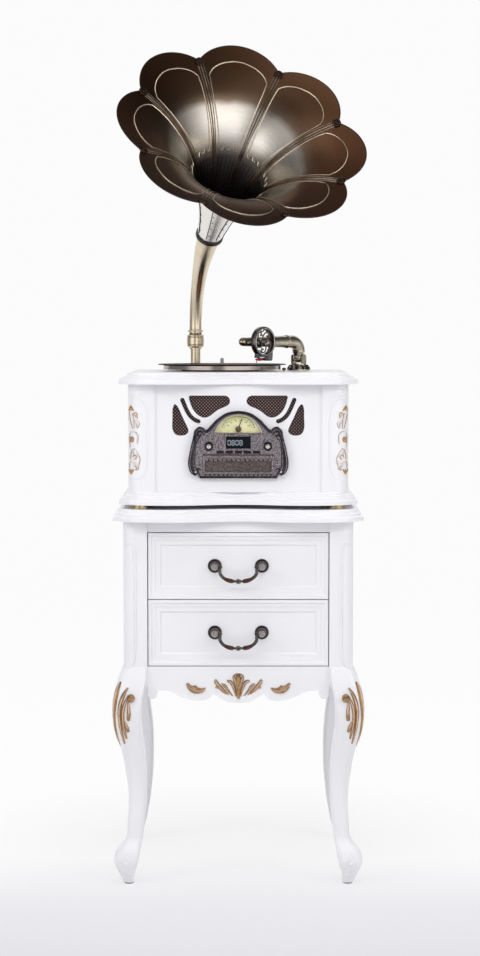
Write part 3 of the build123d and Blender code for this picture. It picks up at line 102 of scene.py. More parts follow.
def position_in(tree, where=None, stretch=(1, 1, 1)):
    """The point in the frame of a placement matrix, each axis scaled by stretch."""
    point = node(tree, "TexCoord").outputs["Object"]
    if where is not None:
        point = node(
            tree,
            "Mapping",
            {"Vector": point, "Location": where.translation, "Rotation": where.to_euler()},
            vector_type="TEXTURE",
        ).outputs["Vector"]
    if tuple(stretch) != (1, 1, 1):
        point = node(tree, "Mapping", {"Vector": point, "Scale": stretch}).outputs["Vector"]
    return point


def noise(tree, point, scale, detail=3.0, roughness=0.5):
    """A cloudy value round 0.5, finer as its scale grows."""
    inputs = {"Vector": point, "Scale": scale, "Detail": detail, "Roughness": roughness}
    return node(tree, "TexNoise", inputs).outputs["Fac"]


def bump(tree, shader, height, distance, strength=1.0):
    """Raises the surface by a height of 0 to 1 times distance, over any bump already there."""
    inputs = {"Height": height, "Distance": distance, "Strength": strength}
    before = shader.inputs["Normal"].links
    if before:
        inputs["Normal"] = before[0].from_socket
    made = node(tree, "Bump", inputs)
    tree.links.new(made.outputs["Normal"], shader.inputs["Normal"])


def feed(tree, socket, value):
    """Links a value to a socket."""
    tree.links.new(value, socket)


# ---------------------------------------------------------------- finishes
def worn_metal(name, light, dark, rough, grain=900, relief=0.00004, patina=35.0, spread=0.25):
    """Cast or polished metal, darker where a patina has settled, with a fine grain."""
    material, tree, shader = new_material(name)
    point = position_in(tree)
    stain = noise(tree, point, patina, 5.0, 0.6)
    stops = [(0.5 - spread, dark), (0.5 + spread, light)]
    feed(tree, shader.inputs["Base Color"], ramp(tree, stain, stops))
    shader.inputs["Metallic"].default_value = 1.0
    fine = noise(tree, point, grain, 2.0)
    feed(tree, shader.inputs["Roughness"], level(tree, stain, rough[1], rough[0]))
    bump(tree, shader, fine, relief, 0.5)
    return material


def moulded_plastic(name, colour, rough=0.4, grain=2500, relief=0.00002, cast=0.82, shine=0.5):
    """Plastic or rubber with a fine moulded grain and slightly uneven colour."""
    material, tree, shader = new_material(name)
    point = position_in(tree)
    cloud = noise(tree, point, 60, 3.0)
    stops = [(0.3, tuple(c * cast for c in colour)), (0.7, colour)]
    feed(tree, shader.inputs["Base Color"], ramp(tree, cloud, stops))
    feed(tree, shader.inputs["Roughness"], level(tree, cloud, rough - 0.06, rough + 0.06))
    shader.inputs["Specular IOR Level"].default_value = shine
    bump(tree, shader, noise(tree, point, grain, 2.0), relief, 0.6)
    return material


def white_lacquer():
    """Sprayed white lacquer: a faint orange peel under a clear coat, a little cooler in places."""
    material, tree, shader = new_material("white_lacquer")
    point = position_in(tree)
    cloud = noise(tree, point, 5, 2.0)
    stops = [(0.3, (0.86, 0.855, 0.89)), (0.7, (0.89, 0.885, 0.915))]
    feed(tree, shader.inputs["Base Color"], ramp(tree, cloud, stops))
    feed(tree, shader.inputs["Roughness"], level(tree, cloud, 0.30, 0.38))
    shader.inputs["Coat Weight"].default_value = 0.25
    shader.inputs["Coat Roughness"].default_value = 0.12
    bump(tree, shader, noise(tree, point, 420, 2.0), 0.00004, 0.35)
    return material


def pale_wood():
    """Planed pale softwood with long grain along the drawers' depth."""
    material, tree, shader = new_material("pale_wood")
    grain = noise(tree, position_in(tree, stretch=(60, 4, 60)), 1.0, 6.0, 0.55)
    pores = noise(tree, position_in(tree, stretch=(900, 25, 900)), 1.0, 2.0)
    stops = [(0.3, (0.42, 0.26, 0.13)), (0.52, (0.62, 0.44, 0.25)), (0.7, (0.70, 0.53, 0.33))]
    feed(tree, shader.inputs["Base Color"], ramp(tree, grain, stops))
    feed(tree, shader.inputs["Roughness"], level(tree, pores, 0.45, 0.62))
    bump(tree, shader, pores, 0.0001, 0.5)
    return material


def hammered_pewter(name="hammered_pewter", light=(0.43, 0.385, 0.41), dark=(0.055, 0.046, 0.055)):
    """Antiqued pewter: bright worn crests over dark hollows of a hammered skin."""
    material, tree, shader = new_material(name)
    point = position_in(tree)
    cells = node(
        tree, "TexVoronoi", {"Vector": point, "Scale": 420.0}, feature="SMOOTH_F1"
    ).outputs["Distance"]
    cloud = noise(tree, point, 520, 4.0, 0.65)
    mixed = maths(tree, "ADD", maths(tree, "MULTIPLY", cells, 0.5), maths(tree, "MULTIPLY", cloud, 0.6))
    stops = [(0.36, dark), (0.5, tuple(0.5 * (a + b) for a, b in zip(light, dark))), (0.66, light)]
    feed(tree, shader.inputs["Base Color"], ramp(tree, mixed, stops))
    shader.inputs["Metallic"].default_value = 0.9
    feed(tree, shader.inputs["Roughness"], level(tree, mixed, 0.6, 0.36))
    bump(tree, shader, mixed, 0.0006, 0.8)
    return material


def grille_mesh():
    """Woven mesh: copper-brown threads crossing on the slant over near-black gaps."""
    material, tree, shader = new_material("grille_mesh")
    axes = node(tree, "SeparateXYZ", {"Vector": position_in(tree)}).outputs
    pitch = pi / 0.0031
    across = maths(tree, "SINE", maths(tree, "MULTIPLY", axes["X"], pitch))
    along = maths(tree, "SINE", maths(tree, "MULTIPLY", axes["Z"], pitch))
    weave = level(tree, maths(tree, "MULTIPLY", across, along), 0.5, 1.0)
    stops = [(0.60, (0.016, 0.011, 0.013)), (0.72, (0.085, 0.045, 0.043)), (0.92, (0.46, 0.30, 0.27))]
    feed(tree, shader.inputs["Base Color"], ramp(tree, weave, stops))
    feed(tree, shader.inputs["Roughness"], level(tree, weave, 0.85, 0.5))
    shader.inputs["Metallic"].default_value = 0.25
    bump(tree, shader, weave, 0.0005, 0.8)
    return material


def groove_finish():
    """Pressed vinyl: fine rings round the spindle and a plain paper label."""
    material, tree, shader = new_material("record_vinyl")
    centre = (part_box("record")[0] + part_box("record")[1]) / 2
    point = position_in(tree, Matrix.Translation((centre.x, centre.y, 0)), (1, 1, 0))
    radius = node(tree, "VectorMath", {0: point}, operation="LENGTH").outputs["Value"]
    rings = maths(tree, "SINE", maths(tree, "MULTIPLY", radius, tau / 0.0009))
    bands = noise(tree, point, 3.0)
    reach = maths(tree, "DIVIDE", radius, 0.125)
    stops = [
        (0.0, (0.33, 0.10, 0.05)), (0.405, (0.26, 0.07, 0.035)), (0.41, (0.010, 0.010, 0.011)),
        (1.0, (0.015, 0.015, 0.017)),
    ]
    feed(tree, shader.inputs["Base Color"], ramp(tree, reach, stops, "CONSTANT"))
    feed(tree, shader.inputs["Roughness"], level(tree, bands, 0.42, 0.56))
    shader.inputs["Specular IOR Level"].default_value = 0.2
    bump(tree, shader, rings, 0.00005, 0.6)
    return material


def dial_paper():
    """Printed cream dial, warmer towards its foot."""
    material, tree, shader = new_material("dial_cream")
    low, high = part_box("dial_plate")
    point = position_in(tree)
    height = node(tree, "SeparateXYZ", {"Vector": point}).outputs["Z"]
    share = maths(tree, "DIVIDE", maths(tree, "SUBTRACT", height, low.z), high.z - low.z)
    speck = maths(tree, "MULTIPLY", noise(tree, point, 700, 4.0), 0.3)
    stops = [(0.0, (0.80, 0.73, 0.38)), (0.55, (0.88, 0.86, 0.54)), (1.2, (0.78, 0.76, 0.42))]
    feed(tree, shader.inputs["Base Color"], ramp(tree, maths(tree, "ADD", share, speck), stops))
    feed(tree, shader.inputs["Roughness"], level(tree, speck, 0.45, 0.8))
    return material


def clear_pane():
    """Thin clear plastic over the dial."""
    material, tree, shader = new_material("dial_pane")
    shader.inputs["Transmission Weight"].default_value = 1.0
    shader.inputs["IOR"].default_value = 1.12
    shader.inputs["Base Color"].default_value = (1.0, 1.0, 0.98, 1.0)
    smear = noise(tree, position_in(tree), 90, 3.0)
    feed(tree, shader.inputs["Roughness"], level(tree, smear, 0.01, 0.06))
    return material


def circuit_board():
    """Green solder mask with paler tracks."""
    material, tree, shader = new_material("board_green")
    point = position_in(tree)
    tracks = node(tree, "TexBrick", {"Vector": point, "Scale": 160.0, "Mortar Size": 0.03}).outputs["Fac"]
    stops = [(0.0, (0.01, 0.10, 0.035)), (1.0, (0.03, 0.22, 0.09))]
    feed(tree, shader.inputs["Base Color"], ramp(tree, tracks, stops))
    feed(tree, shader.inputs["Roughness"], level(tree, tracks, 0.35, 0.5))
    bump(tree, shader, tracks, 0.00005)
    return material


# ---------------------------------------------------------------- working by hand
def take(piece):
    """Makes one piece the selected and active one."""
    bpy.ops.object.select_all(action="DESELECT")
    bpy.context.view_layer.objects.active = piece
    piece.select_set(True)


@contextmanager
def editing(piece, mode="VERT"):
    """Opens one piece in edit mode with nothing selected."""
    take(piece)
    bpy.ops.object.mode_set(mode="EDIT")
    bpy.ops.mesh.select_mode(type=mode)
    bpy.ops.mesh.select_all(action="DESELECT")
    yield
    bpy.ops.object.mode_set(mode="OBJECT")


def select(piece, kind, test, keep=False):
    """Selects the verts, edges or faces whose middle passes a test."""
    if not keep:
        bpy.ops.mesh.select_all(action="DESELECT")
    mesh = bmesh.from_edit_mesh(piece.data)
    for part in getattr(mesh, kind):
        corners = [part] if kind == "verts" else list(part.verts)
        centre = sum((corner.co for corner in corners), Vector()) / len(corners)
        if test(centre):
            part.select_set(True)
    mesh.select_flush_mode()
    bmesh.update_edit_mesh(piece.data)


def push(x, y, z):
    """Extrudes what is selected by a step."""
    bpy.ops.mesh.extrude_region_move(TRANSFORM_OT_translate={"value": (x, y, z)})


def smooth(piece, angle=35):
    """Shades a piece smooth, but for edges sharper than an angle."""
    take(piece)
    bpy.ops.object.shade_smooth_by_angle(angle=radians(angle))


def tidy_mesh(gap=0.000002):
    """In edit mode: joins doubled corners and turns every face outwards."""
    bpy.ops.mesh.select_all(action="SELECT")
    bpy.ops.mesh.remove_doubles(threshold=gap)
    bpy.ops.mesh.normals_make_consistent(inside=False)


def line(name, points, closed=False):
    """A chain of edges through points given in millimetres, pushed out corner by corner."""
    points = [Vector(point) * MM for point in points]
    bpy.ops.mesh.primitive_plane_add(size=0.01, location=(0, 0, 0))
    piece = bpy.context.object
    piece.name = piece.data.name = name
    with editing(piece):
        select(piece, "verts", lambda c: c.x < 0 or c.y < 0)
        bpy.ops.mesh.delete(type="VERT")
        bpy.ops.mesh.select_all(action="SELECT")
        bpy.ops.transform.translate(value=points[0] - Vector((0.005, 0.005, 0)))
        for before, after in zip(points, points[1:]):
            push(*(after - before))
        if closed:
            select(
                piece, "verts", lambda c: min((c - points[0]).length, (c - points[-1]).length) < 0.0000005
            )
            bpy.ops.mesh.edge_face_add()
    return piece


def bead(name, points, radius, closed=False, taper=None, resolution=2):
    """A round wire along points, its radius scaled at each point by taper, made a mesh."""
    piece = line(name, points, closed)
    take(piece)
    bpy.ops.object.convert(target="CURVE")
    curve = piece.data
    curve.bevel_depth = radius * MM
    curve.bevel_resolution = resolution
    curve.use_fill_caps = not closed
    if taper:
        for point, share in zip(curve.splines[0].points, taper):
            point.radius = share
    bpy.ops.object.convert(target="MESH")
    with editing(piece):
        tidy_mesh()
    smooth(piece, 50)
    return piece


def turned(name, profile, steps=48, angle=360):
    """A profile of (radius, height) in millimetres turned about the Z axis."""
    piece = line(name, [(radius, 0, height) for radius, height in profile])
    with editing(piece):
        bpy.ops.mesh.select_all(action="SELECT")
        bpy.ops.mesh.spin(steps=steps, angle=-radians(angle), center=(0, 0, 0), axis=(0, 0, 1))
        tidy_mesh()
    return piece


def cut_plate(name, outline, height):
    """A flat outline of (x, y) millimetres, filled and raised by a height."""
    piece = line(name, [(x, y, 0) for x, y in outline], closed=True)
    with editing(piece, "EDGE"):
        bpy.ops.mesh.select_all(action="SELECT")
        bpy.ops.mesh.edge_face_add()
        push(0, 0, height * MM)
        tidy_mesh()
    return piece


def modify(piece, kind, **settings):
    """Adds a modifier and applies it."""
    take(piece)
    bpy.ops.object.modifier_add(type=kind)
    modifier = piece.modifiers[-1]
    for name, value in settings.items():
        setattr(modifier, name, value)
    bpy.ops.object.modifier_apply(modifier=modifier.name)


def place(piece, where):
    """Moves a piece by a placement matrix and bakes the move into its mesh."""
    piece.matrix_world = where @ piece.matrix_world
    take(piece)
    bpy.ops.object.transform_apply(location=True, rotation=True, scale=True)
    return piece


def copy(piece, where, name=None):
    """A copy with a mesh of its own, moved by a placement matrix."""
    take(piece)
    bpy.ops.object.duplicate(linked=False)
    made = bpy.context.object
    if name:
        made.name = made.data.name = name
    return place(made, where)


def joined(name, pieces):
    """Several pieces made one."""
    bpy.ops.object.select_all(action="DESELECT")
    for piece in pieces:
        piece.select_set(True)
    bpy.context.view_layer.objects.active = pieces[0]
    if len(pieces) > 1:
        bpy.ops.object.join()
    pieces[0].name = pieces[0].data.name = name
    return pieces[0]


def drop(piece):
    """Deletes a piece that has done its work."""
    take(piece)
    bpy.ops.object.delete()


def dress(piece, material, body, slot, *stands_for):
    """Gives a finished piece its material and the body it moves with, and hides the CAD nodes it stands
    for.
    """
    if material is not None:
        piece.data.materials.clear()
        piece.data.materials.append(material)
    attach(piece, body)
    if stands_for:
        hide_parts(*stands_for)
    return piece


def shift(x=0.0, y=0.0, z=0.0):
    """A placement moved by millimetres."""
    return Matrix.Translation((x * MM, y * MM, z * MM))


def turn(angle, axis="Z"):
    """A placement turned by degrees about an axis."""
    return Matrix.Rotation(radians(angle), 4, axis)


def through(points, steps=6):
    """More points along a smooth curve through the given ones."""
    points = [Vector(point) for point in points]
    ends = [2 * points[0] - points[1]] + points + [2 * points[-1] - points[-2]]
    made = []
    for a, b, c, d in zip(ends, ends[1:], ends[2:], ends[3:]):
        for step in range(steps):
            s = step / steps
            bend = 2 * a - 5 * b + 4 * c - d
            twist = 3 * b - a - 3 * c + d
            made.append(0.5 * (2 * b + (c - a) * s + bend * s**2 + twist * s**3))
    return made + [points[-1]]


# ---------------------------------------------------------------- finishes of the frame's parts
lacquer = white_lacquer()
wood = pale_wood()
gilt = worn_metal("gilt", (0.56, 0.36, 0.17), (0.36, 0.20, 0.085), (0.34, 0.5), 700)
rose_gilt = worn_metal("rose_gilt", (0.72, 0.45, 0.30), (0.50, 0.28, 0.17), (0.34, 0.5), 700)
dark_bronze = worn_metal(
    "dark_bronze", (0.14, 0.105, 0.085), (0.035, 0.027, 0.026), (0.3, 0.5), 900, patina=120
)
foot_brass = worn_metal("foot_brass", (0.62, 0.50, 0.30), (0.35, 0.26, 0.14), (0.18, 0.34))
glide_rubber = moulded_plastic("glide_rubber", (0.008, 0.007, 0.010), 0.85, shine=0.02)
mesh_cloth = grille_mesh()
speaker_paper = moulded_plastic("speaker_paper", (0.02, 0.02, 0.021), 0.7, 900, 0.0001)
pewter = hammered_pewter()
cream = dial_paper()
pane = clear_pane()
pointer_bronze = worn_metal(
    "pointer_bronze", (0.16, 0.12, 0.07), (0.08, 0.055, 0.03), (0.35, 0.5), patina=300
)
display_black = moulded_plastic("display_black", (0.006, 0.009, 0.012), 0.30, 3000, 0.000005, shine=0.1)
knob_chrome = worn_metal("knob_chrome", (0.68, 0.67, 0.66), (0.50, 0.49, 0.48), (0.12, 0.25), patina=90)
button_black = moulded_plastic("button_black", (0.018, 0.013, 0.018), 0.4, shine=0.15)
tray_pewter = hammered_pewter("tray_pewter", (0.42, 0.37, 0.375), (0.07, 0.055, 0.06))
chassis_steel = worn_metal("chassis_steel", (0.55, 0.56, 0.57), (0.42, 0.43, 0.44), (0.3, 0.45), patina=20)
board_green = circuit_board()
socket_black = moulded_plastic("socket_black", (0.02, 0.02, 0.022), 0.4)
platter_metal = worn_metal("platter_metal", (0.42, 0.36, 0.33), (0.30, 0.25, 0.22), (0.12, 0.24), patina=18)
vinyl = groove_finish()
bearing_brass = worn_metal("bearing_brass", (0.70, 0.56, 0.30), (0.50, 0.38, 0.18), (0.2, 0.35))
motor_steel = worn_metal("motor_steel", (0.50, 0.50, 0.50), (0.36, 0.36, 0.36), (0.3, 0.5))
belt_rubber = moulded_plastic("belt_rubber", (0.015, 0.015, 0.015), 0.7)
arm_nickel = worn_metal("arm_nickel", (0.66, 0.60, 0.50), (0.30, 0.25, 0.18), (0.06, 0.16), patina=45)
box_metal = worn_metal("sound_box_metal", (0.30, 0.27, 0.27), (0.12, 0.10, 0.10), (0.2, 0.36), patina=90)
cartridge_grey = moulded_plastic("cartridge_grey", (0.09, 0.085, 0.09), 0.38)
horn_brass = worn_metal("horn_brass", (0.82, 0.73, 0.58), (0.60, 0.50, 0.36), (0.16, 0.3), patina=14)
rosette_bronze = worn_metal(
    "rosette_bronze", (0.13, 0.085, 0.06), (0.04, 0.027, 0.022), (0.32, 0.5), patina=260
)
ring_black = moulded_plastic("ring_black", (0.012, 0.012, 0.013), 0.35)
driver_black = moulded_plastic("driver_black", (0.02, 0.02, 0.02), 0.5)

finish_of = {
    lacquer: """cabinet_top front_legs rear_legs case_boards front_apron
        upper_drawer_front lower_drawer_front player_plinth player_front_panel
        player_side_and_back_panels player_corner_posts player_deck""",
    wood: "drawer_runners upper_drawer_box lower_drawer_box",
    gilt: "cabinet_carvings",
    rose_gilt: "player_carvings",
    dark_bronze: "speed_lever upper_handle_posts lower_handle_posts upper_handle_bail lower_handle_bail",
    foot_brass: "player_feet",
    glide_rubber: "foot_glides",
    mesh_cloth: "grille_cloth",
    speaker_paper: "speakers",
    pewter: "radio_fascia",
    cream: "dial_plate",
    pane: "dial_glass",
    pointer_bronze: "dial_pointer",
    display_black: "display_module",
    knob_chrome: "volume_knob tuning_knob",
    button_black: " ".join(f"function_button_{n}" for n in range(1, 6)),
    tray_pewter: "cd_tray",
    chassis_steel: "cd_mechanism",
    board_green: "amplifier_board",
    socket_black: "rear_connector_plate",
    platter_metal: "platter",
    motor_steel: "turntable_motor platter_spindle",
    vinyl: "record",
    bearing_brass: "spindle_bearing motor_pulley",
    belt_rubber: "drive_belt",
    arm_nickel: "arm_base arm_pillar arm_tube",
    box_metal: "sound_box",
    cartridge_grey: "cartridge",
    horn_brass: "horn_socket horn_elbow horn_petals",
    rosette_bronze: "seam_rosettes",
    ring_black: "throat_ring",
    driver_black: "horn_driver",
}
for material, names in finish_of.items():
    for name in names.split():
        nodes[name].data.materials.clear()
        nodes[name].data.materials.append(material)


# ---------------------------------------------------------------- horn
PETAL = 45.0  # degrees of one petal
PETAL_PHASE = 12.2  # degrees of the first seam
SHEET = 1.2
THROAT = Vector((-57.6, 49.6, 1239.2))
# a petal's round end: the radius of its middle from the axis and half its width
PETAL_END, PETAL_HALF = 150.3, 90.7
SEAM_START, SEAM_END = 36, 199  # radii between which the ribs of a seam run
NOTCH = 209  # radius where two petal ends meet
ROSETTE_AT = 205.0  # radius of a rosette's middle
# radius and height of the horn's inner side, from the throat to the rim
FLARE = [
    (22.8, 0), (26.6, 26), (32, 55), (38.5, 81), (46, 105), (54, 129), (63, 150), (75.5, 173.5), (90, 195),
    (106.5, 214), (124, 230), (144, 245), (165, 257), (186, 266.3), (207, 274), (226, 280.4), (246, 286),
]
THROAT_RADIUS, RIM_RADIUS = FLARE[0][0], FLARE[-1][0]


def horn_place():
    """The horn's own frame: its middle at the throat, Z along the axis towards the mouth."""
    axis = Vector((0.235, -0.724, 0.648)).normalized()
    side = Vector((cos(radians(18)), sin(radians(18)), 0))
    side = (side - side.dot(axis) * axis).normalized()
    made = Matrix((side, axis.cross(side), axis)).transposed().to_4x4()
    made.translation = THROAT * MM
    return made


def flare_height(radius):
    """How far along the axis the horn's inner side is at a radius."""
    for (r0, t0), (r1, t1) in zip(FLARE, FLARE[1:]):
        if radius <= r1:
            break
    return t0 + (t1 - t0) * (radius - r0) / (r1 - r0)


def on_flare(x, y, lift=0.0):
    """The point of the horn's inner side over (x, y), moved inwards by a lift."""
    radius = hypot(x, y)
    low, high = max(radius - 3, THROAT_RADIUS + 0.2), min(radius + 3, RIM_RADIUS - 1)
    slope = (flare_height(high) - flare_height(low)) / (high - low)
    length = hypot(1, slope)
    outward = lift * slope / length
    return Vector(
        (x - outward * x / radius, y - outward * y / radius, flare_height(radius) + lift / length)
    )


def blend(tree, share, first, second, kind="MIX"):
    """Two colours mixed, or combined in another way, by a share."""
    inputs = {"Factor": share, 6: first, 7: second}
    return node(tree, "Mix", inputs, data_type="RGBA", blend_type=kind).outputs[2]


def facing(tree, angle, towards):
    """1 in a direction of so many degrees round the axis, falling to 0 opposite it."""
    away = maths(tree, "SUBTRACT", angle, radians(towards))
    return maths(tree, "MULTIPLY_ADD", maths(tree, "COSINE", away), 0.5)


def bronze_with_painted_reflections(name, inside=True):
    """Bronzed brass: inside, a grey throat that is partly painted shade, a bright brushed band that is
    partly a painted reflection, then brown to the rim, with painted reflection making each side round the
    axis lighter and darker.
    """
    material, tree, shader = new_material(name)
    point = position_in(tree, horn_place())
    flat = node(tree, "Mapping", {"Vector": point, "Scale": (1, 1, 0)}).outputs["Vector"]
    radius = node(tree, "VectorMath", {0: flat}, operation="LENGTH").outputs["Value"]
    axes = node(tree, "SeparateXYZ", {"Vector": point}).outputs
    angle = maths(tree, "ARCTAN2", axes["Y"], axes["X"])
    ring = node(
        tree,
        "CombineXYZ",
        {"X": maths(tree, "MULTIPLY", angle, 1.2), "Y": maths(tree, "MULTIPLY", radius, 900)},
    ).outputs["Vector"]
    brushed = noise(tree, ring, 2.2, 3.0, 0.6)
    cloud = noise(tree, point, 11, 3.0)
    reach = maths(tree, "DIVIDE", radius, RIM_RADIUS * MM)
    drift = maths(tree, "ADD", reach, maths(tree, "MULTIPLY", maths(tree, "SUBTRACT", cloud, 0.5), 0.12))
    if inside:
        # painted light: the grey throat is partly painted shade and the bright band partly a painted
        # reflection over the brushed brass
        stops = [
            (0.12, (0.20, 0.185, 0.20)), (0.26, (0.24, 0.22, 0.225)), (0.31, (0.52, 0.47, 0.41)),
            (0.37, (0.96, 0.91, 0.83)), (0.51, (0.93, 0.85, 0.75)), (0.56, (0.40, 0.28, 0.20)),
            (0.64, (0.27, 0.155, 0.095)), (0.80, (0.18, 0.090, 0.048)), (1.0, (0.145, 0.072, 0.040)),
        ]
    else:
        stops = [
            (0.09, (1.0, 0.98, 0.95)), (0.22, (0.97, 0.93, 0.86)), (0.45, (0.35, 0.25, 0.16)),
            (1.0, (0.10, 0.05, 0.03)),
        ]
    colour = ramp(tree, drift, stops)
    if inside:
        # painted reflection: the inner part brighter towards 60 degrees round the axis, the rim part
        # lightened and browned by its side round the axis
        painted_sheen_by_side = ramp(tree, facing(tree, angle, 60), [(0.30, grey(0.40)), (0.72, grey(1.0))])
        tones = [
            (0.05, grey(0.42)), (0.25, grey(0.95)), (0.75, (0.56, 0.50, 0.45)), (0.95, (0.52, 0.41, 0.33)),
        ]
        painted_rim_shading_by_side = ramp(tree, facing(tree, angle, -60), tones)
        outer = ramp(tree, reach, [(0.52, grey(0)), (0.60, grey(1))])
        colour = blend(tree, 1.0, colour, blend(tree, outer, painted_sheen_by_side, painted_rim_shading_by_side), "MULTIPLY")
    worn = blend(tree, level(tree, brushed, 0.0, 0.35), colour, (0, 0, 0, 1), "MULTIPLY")
    feed(tree, shader.inputs["Base Color"], worn)
    shader.inputs["Metallic"].default_value = 1.0
    feed(tree, shader.inputs["Roughness"], level(tree, brushed, 0.22, 0.36))
    bump(tree, shader, brushed, 0.00012, 0.5)
    return material


horn_inside = bronze_with_painted_reflections("horn_bronze")
horn_outside = bronze_with_painted_reflections("horn_champagne", inside=False)
rib_bronze = worn_metal("rib_bronze", (0.46, 0.36, 0.27), (0.15, 0.10, 0.08), (0.16, 0.3), 900, patina=50)
horn_gilt = worn_metal("horn_gilt", (0.95, 0.85, 0.70), (0.66, 0.52, 0.36), (0.22, 0.38), 900, patina=60)
horn_edge = worn_metal("horn_edge", (0.10, 0.07, 0.06), (0.03, 0.022, 0.022), (0.3, 0.5), 900, patina=60)


def behind_flare(point):
    """How far a point in metres lies behind the horn's inner side, in millimetres, along the axis."""
    radius = min(max(hypot(point.x, point.y) / MM, THROAT_RADIUS), RIM_RADIUS)
    return flare_height(radius) - point.z / MM


def petal_sheet():
    """One petal: an eighth of the flare, thickened and trimmed to a round end."""
    petal = turned("horn_petal_1", FLARE, 18, PETAL)
    place(petal, turn(-PETAL / 2))
    with editing(petal, "FACE"):
        bpy.ops.mesh.select_all(action="SELECT")
        if petal.data.polygons[0].normal.z > 0:
            bpy.ops.mesh.flip_normals()
    modify(petal, "SOLIDIFY", thickness=SHEET * MM, offset=1, use_even_offset=True)
    arc = [
        (PETAL_END + PETAL_HALF * sin(radians(a)), -PETAL_HALF * cos(radians(a))) for a in range(0, 181, 3)
    ]
    trim = cut_plate("petal_trim", [(-20, -PETAL_HALF)] + arc + [(-20, PETAL_HALF)], 330)
    place(trim, shift(0, 0, -20))
    modify(petal, "BOOLEAN", operation="INTERSECT", object=trim, solver="EXACT")
    drop(trim)
    petal.data.materials.clear()
    petal.data.materials.append(horn_inside)
    petal.data.materials.append(horn_outside)
    with editing(petal, "FACE"):
        bpy.ops.mesh.select_all(action="SELECT")
        bpy.ops.mesh.normals_make_consistent(inside=False)
        petal.active_material_index = 1
        select(petal, "faces", lambda c: behind_flare(c) > 0.8)
        bpy.ops.object.material_slot_assign()
    smooth(petal, 40)
    return petal


# the raised outline of a petal's panel, from the middle of its rim to the middle of its waved foot
PANEL_ARCH = [(206.5, 0), (205.5, 11), (199, 30.5), (189.5, 44.5), (180, 52.5), (169.5, 57.0)]
PANEL_SIDE = [(169.5, 57.0), (151.5, 51.5), (130, 43.5), (107, 34.0), (87, 25.0), (70.6, 17.6)]
PANEL_FOOT = [(70.6, 17.6), (70.3, 11.5), (73.6, 9.4), (74.6, 7.0), (72.6, 4.6), (71.8, 2.4), (72.6, 0)]


def panel_outline():
    """The raised gilt wire round a petal's panel."""
    half = through(PANEL_ARCH, 5)[:-1] + through(PANEL_SIDE, 5)[:-1] + [Vector(p) for p in PANEL_FOOT]
    half = [(point.x, point.y) for point in half]
    whole = half + [(x, -y) for x, y in half[-2:0:-1]]
    return bead("horn_outline_1", [on_flare(x, y, 0.5) for x, y in whole], 1.15, closed=True, resolution=1)


def seam_ribs():
    """Three ribs along a seam, drawn together towards the throat."""
    ribs = []
    for spread, radius in ((-1, 1.05), (0, 1.7), (1, 1.05)):
        points = []
        for step in range(30):
            reach = SEAM_START + (SEAM_END - SEAM_START) * step / 29
            gap = 1.6 + 3.6 * min(1, (reach - SEAM_START) / 90)
            points.append(on_flare(reach, spread * gap, 0.35))
        ribs.append(bead("rib", points, radius, resolution=1))
    return joined("horn_seam_1", ribs)


def outer_seam():
    """A dark folded seam on the outside near the ring, with rivets along one side."""
    path = [on_flare(25 + 40 * n / 14, 0, -SHEET - 0.5) for n in range(15)]
    rivet = turned("rivet", [(0, 0.9), (0.7, 0.8), (1.2, 0.4), (1.4, -0.4)], 12)
    smooth(rivet, 50)
    pieces = [bead("seam", path, 0.9, resolution=1)]
    for reach in (26.5, 31, 36, 42, 50):
        foot = on_flare(reach, 3.2, -SHEET)
        out = on_flare(reach, 3.2, -SHEET - 1) - foot
        seat = Matrix.Translation(foot * MM) @ out.to_track_quat("Z", "Y").to_matrix().to_4x4()
        pieces.append(copy(rivet, seat))
    drop(rivet)
    return joined("horn_outer_seam_1", pieces)


def throat_flutes():
    """Fine raised lines that run down into the throat under each petal."""
    lines = []
    for offset in (-14, -7.5, 0, 7.5, 14):
        angle = radians(offset)
        points = []
        for step in range(12):
            reach = 30 + 36 * step / 11
            points.append(on_flare(reach * cos(angle), reach * sin(angle), 0.1))
        lines.append(bead("flute", points, 0.55, resolution=1))
    return joined("horn_flutes_1", lines)


def rim_wire():
    """The dark rolled edge round a petal's end."""
    half = PETAL_HALF - 0.5
    seam = radians(PETAL / 2)
    limit = degrees(atan2(NOTCH * sin(seam), NOTCH * cos(seam) - PETAL_END))
    arc = [radians(-limit + 2 * limit * n / 30) for n in range(31)]
    points = [on_flare(PETAL_END + half * cos(a), half * sin(a), -0.5) for a in arc]
    return bead("horn_rim_1", points, 1.15, resolution=1)


def rosette():
    """A pierced flower boss: a ring, a domed middle and five curled petals."""
    ring = turned(
        "ring", [(7.0, 1.6), (7.6, 3.0), (8.6, 3.2), (9.2, 2.2), (9.0, 0.2), (7.0, 0.2), (7.0, 1.6)], 32
    )
    dome = turned("dome", [(0, 4.4), (1.2, 4.2), (2.2, 3.2), (2.5, 1.6), (2.5, 0.4)], 20)
    plate = turned("plate", [(0, 1.5), (7.4, 1.5), (7.4, 0.2), (0, 0.2)], 32)
    curls = []
    for n in range(5):
        around = [
            (4.9 + 1.7 * cos(radians(a)), 1.7 * sin(radians(a)), 2.2 + 0.4 * sin(radians(a / 2)))
            for a in range(-150, 160, 25)
        ]
        curls.append(place(bead("curl", around, 0.62, resolution=1), turn(72 * n + 18)))
    made = joined("horn_rosette_1", [ring, dome, plate] + curls)
    smooth(made, 45)
    # the flare's slope between the radii 165 and 207
    lean = degrees(atan2(274 - 257, 207 - 165))
    return place(made, shift(ROSETTE_AT, 0, flare_height(ROSETTE_AT) - 0.5) @ turn(-lean, "Y"))


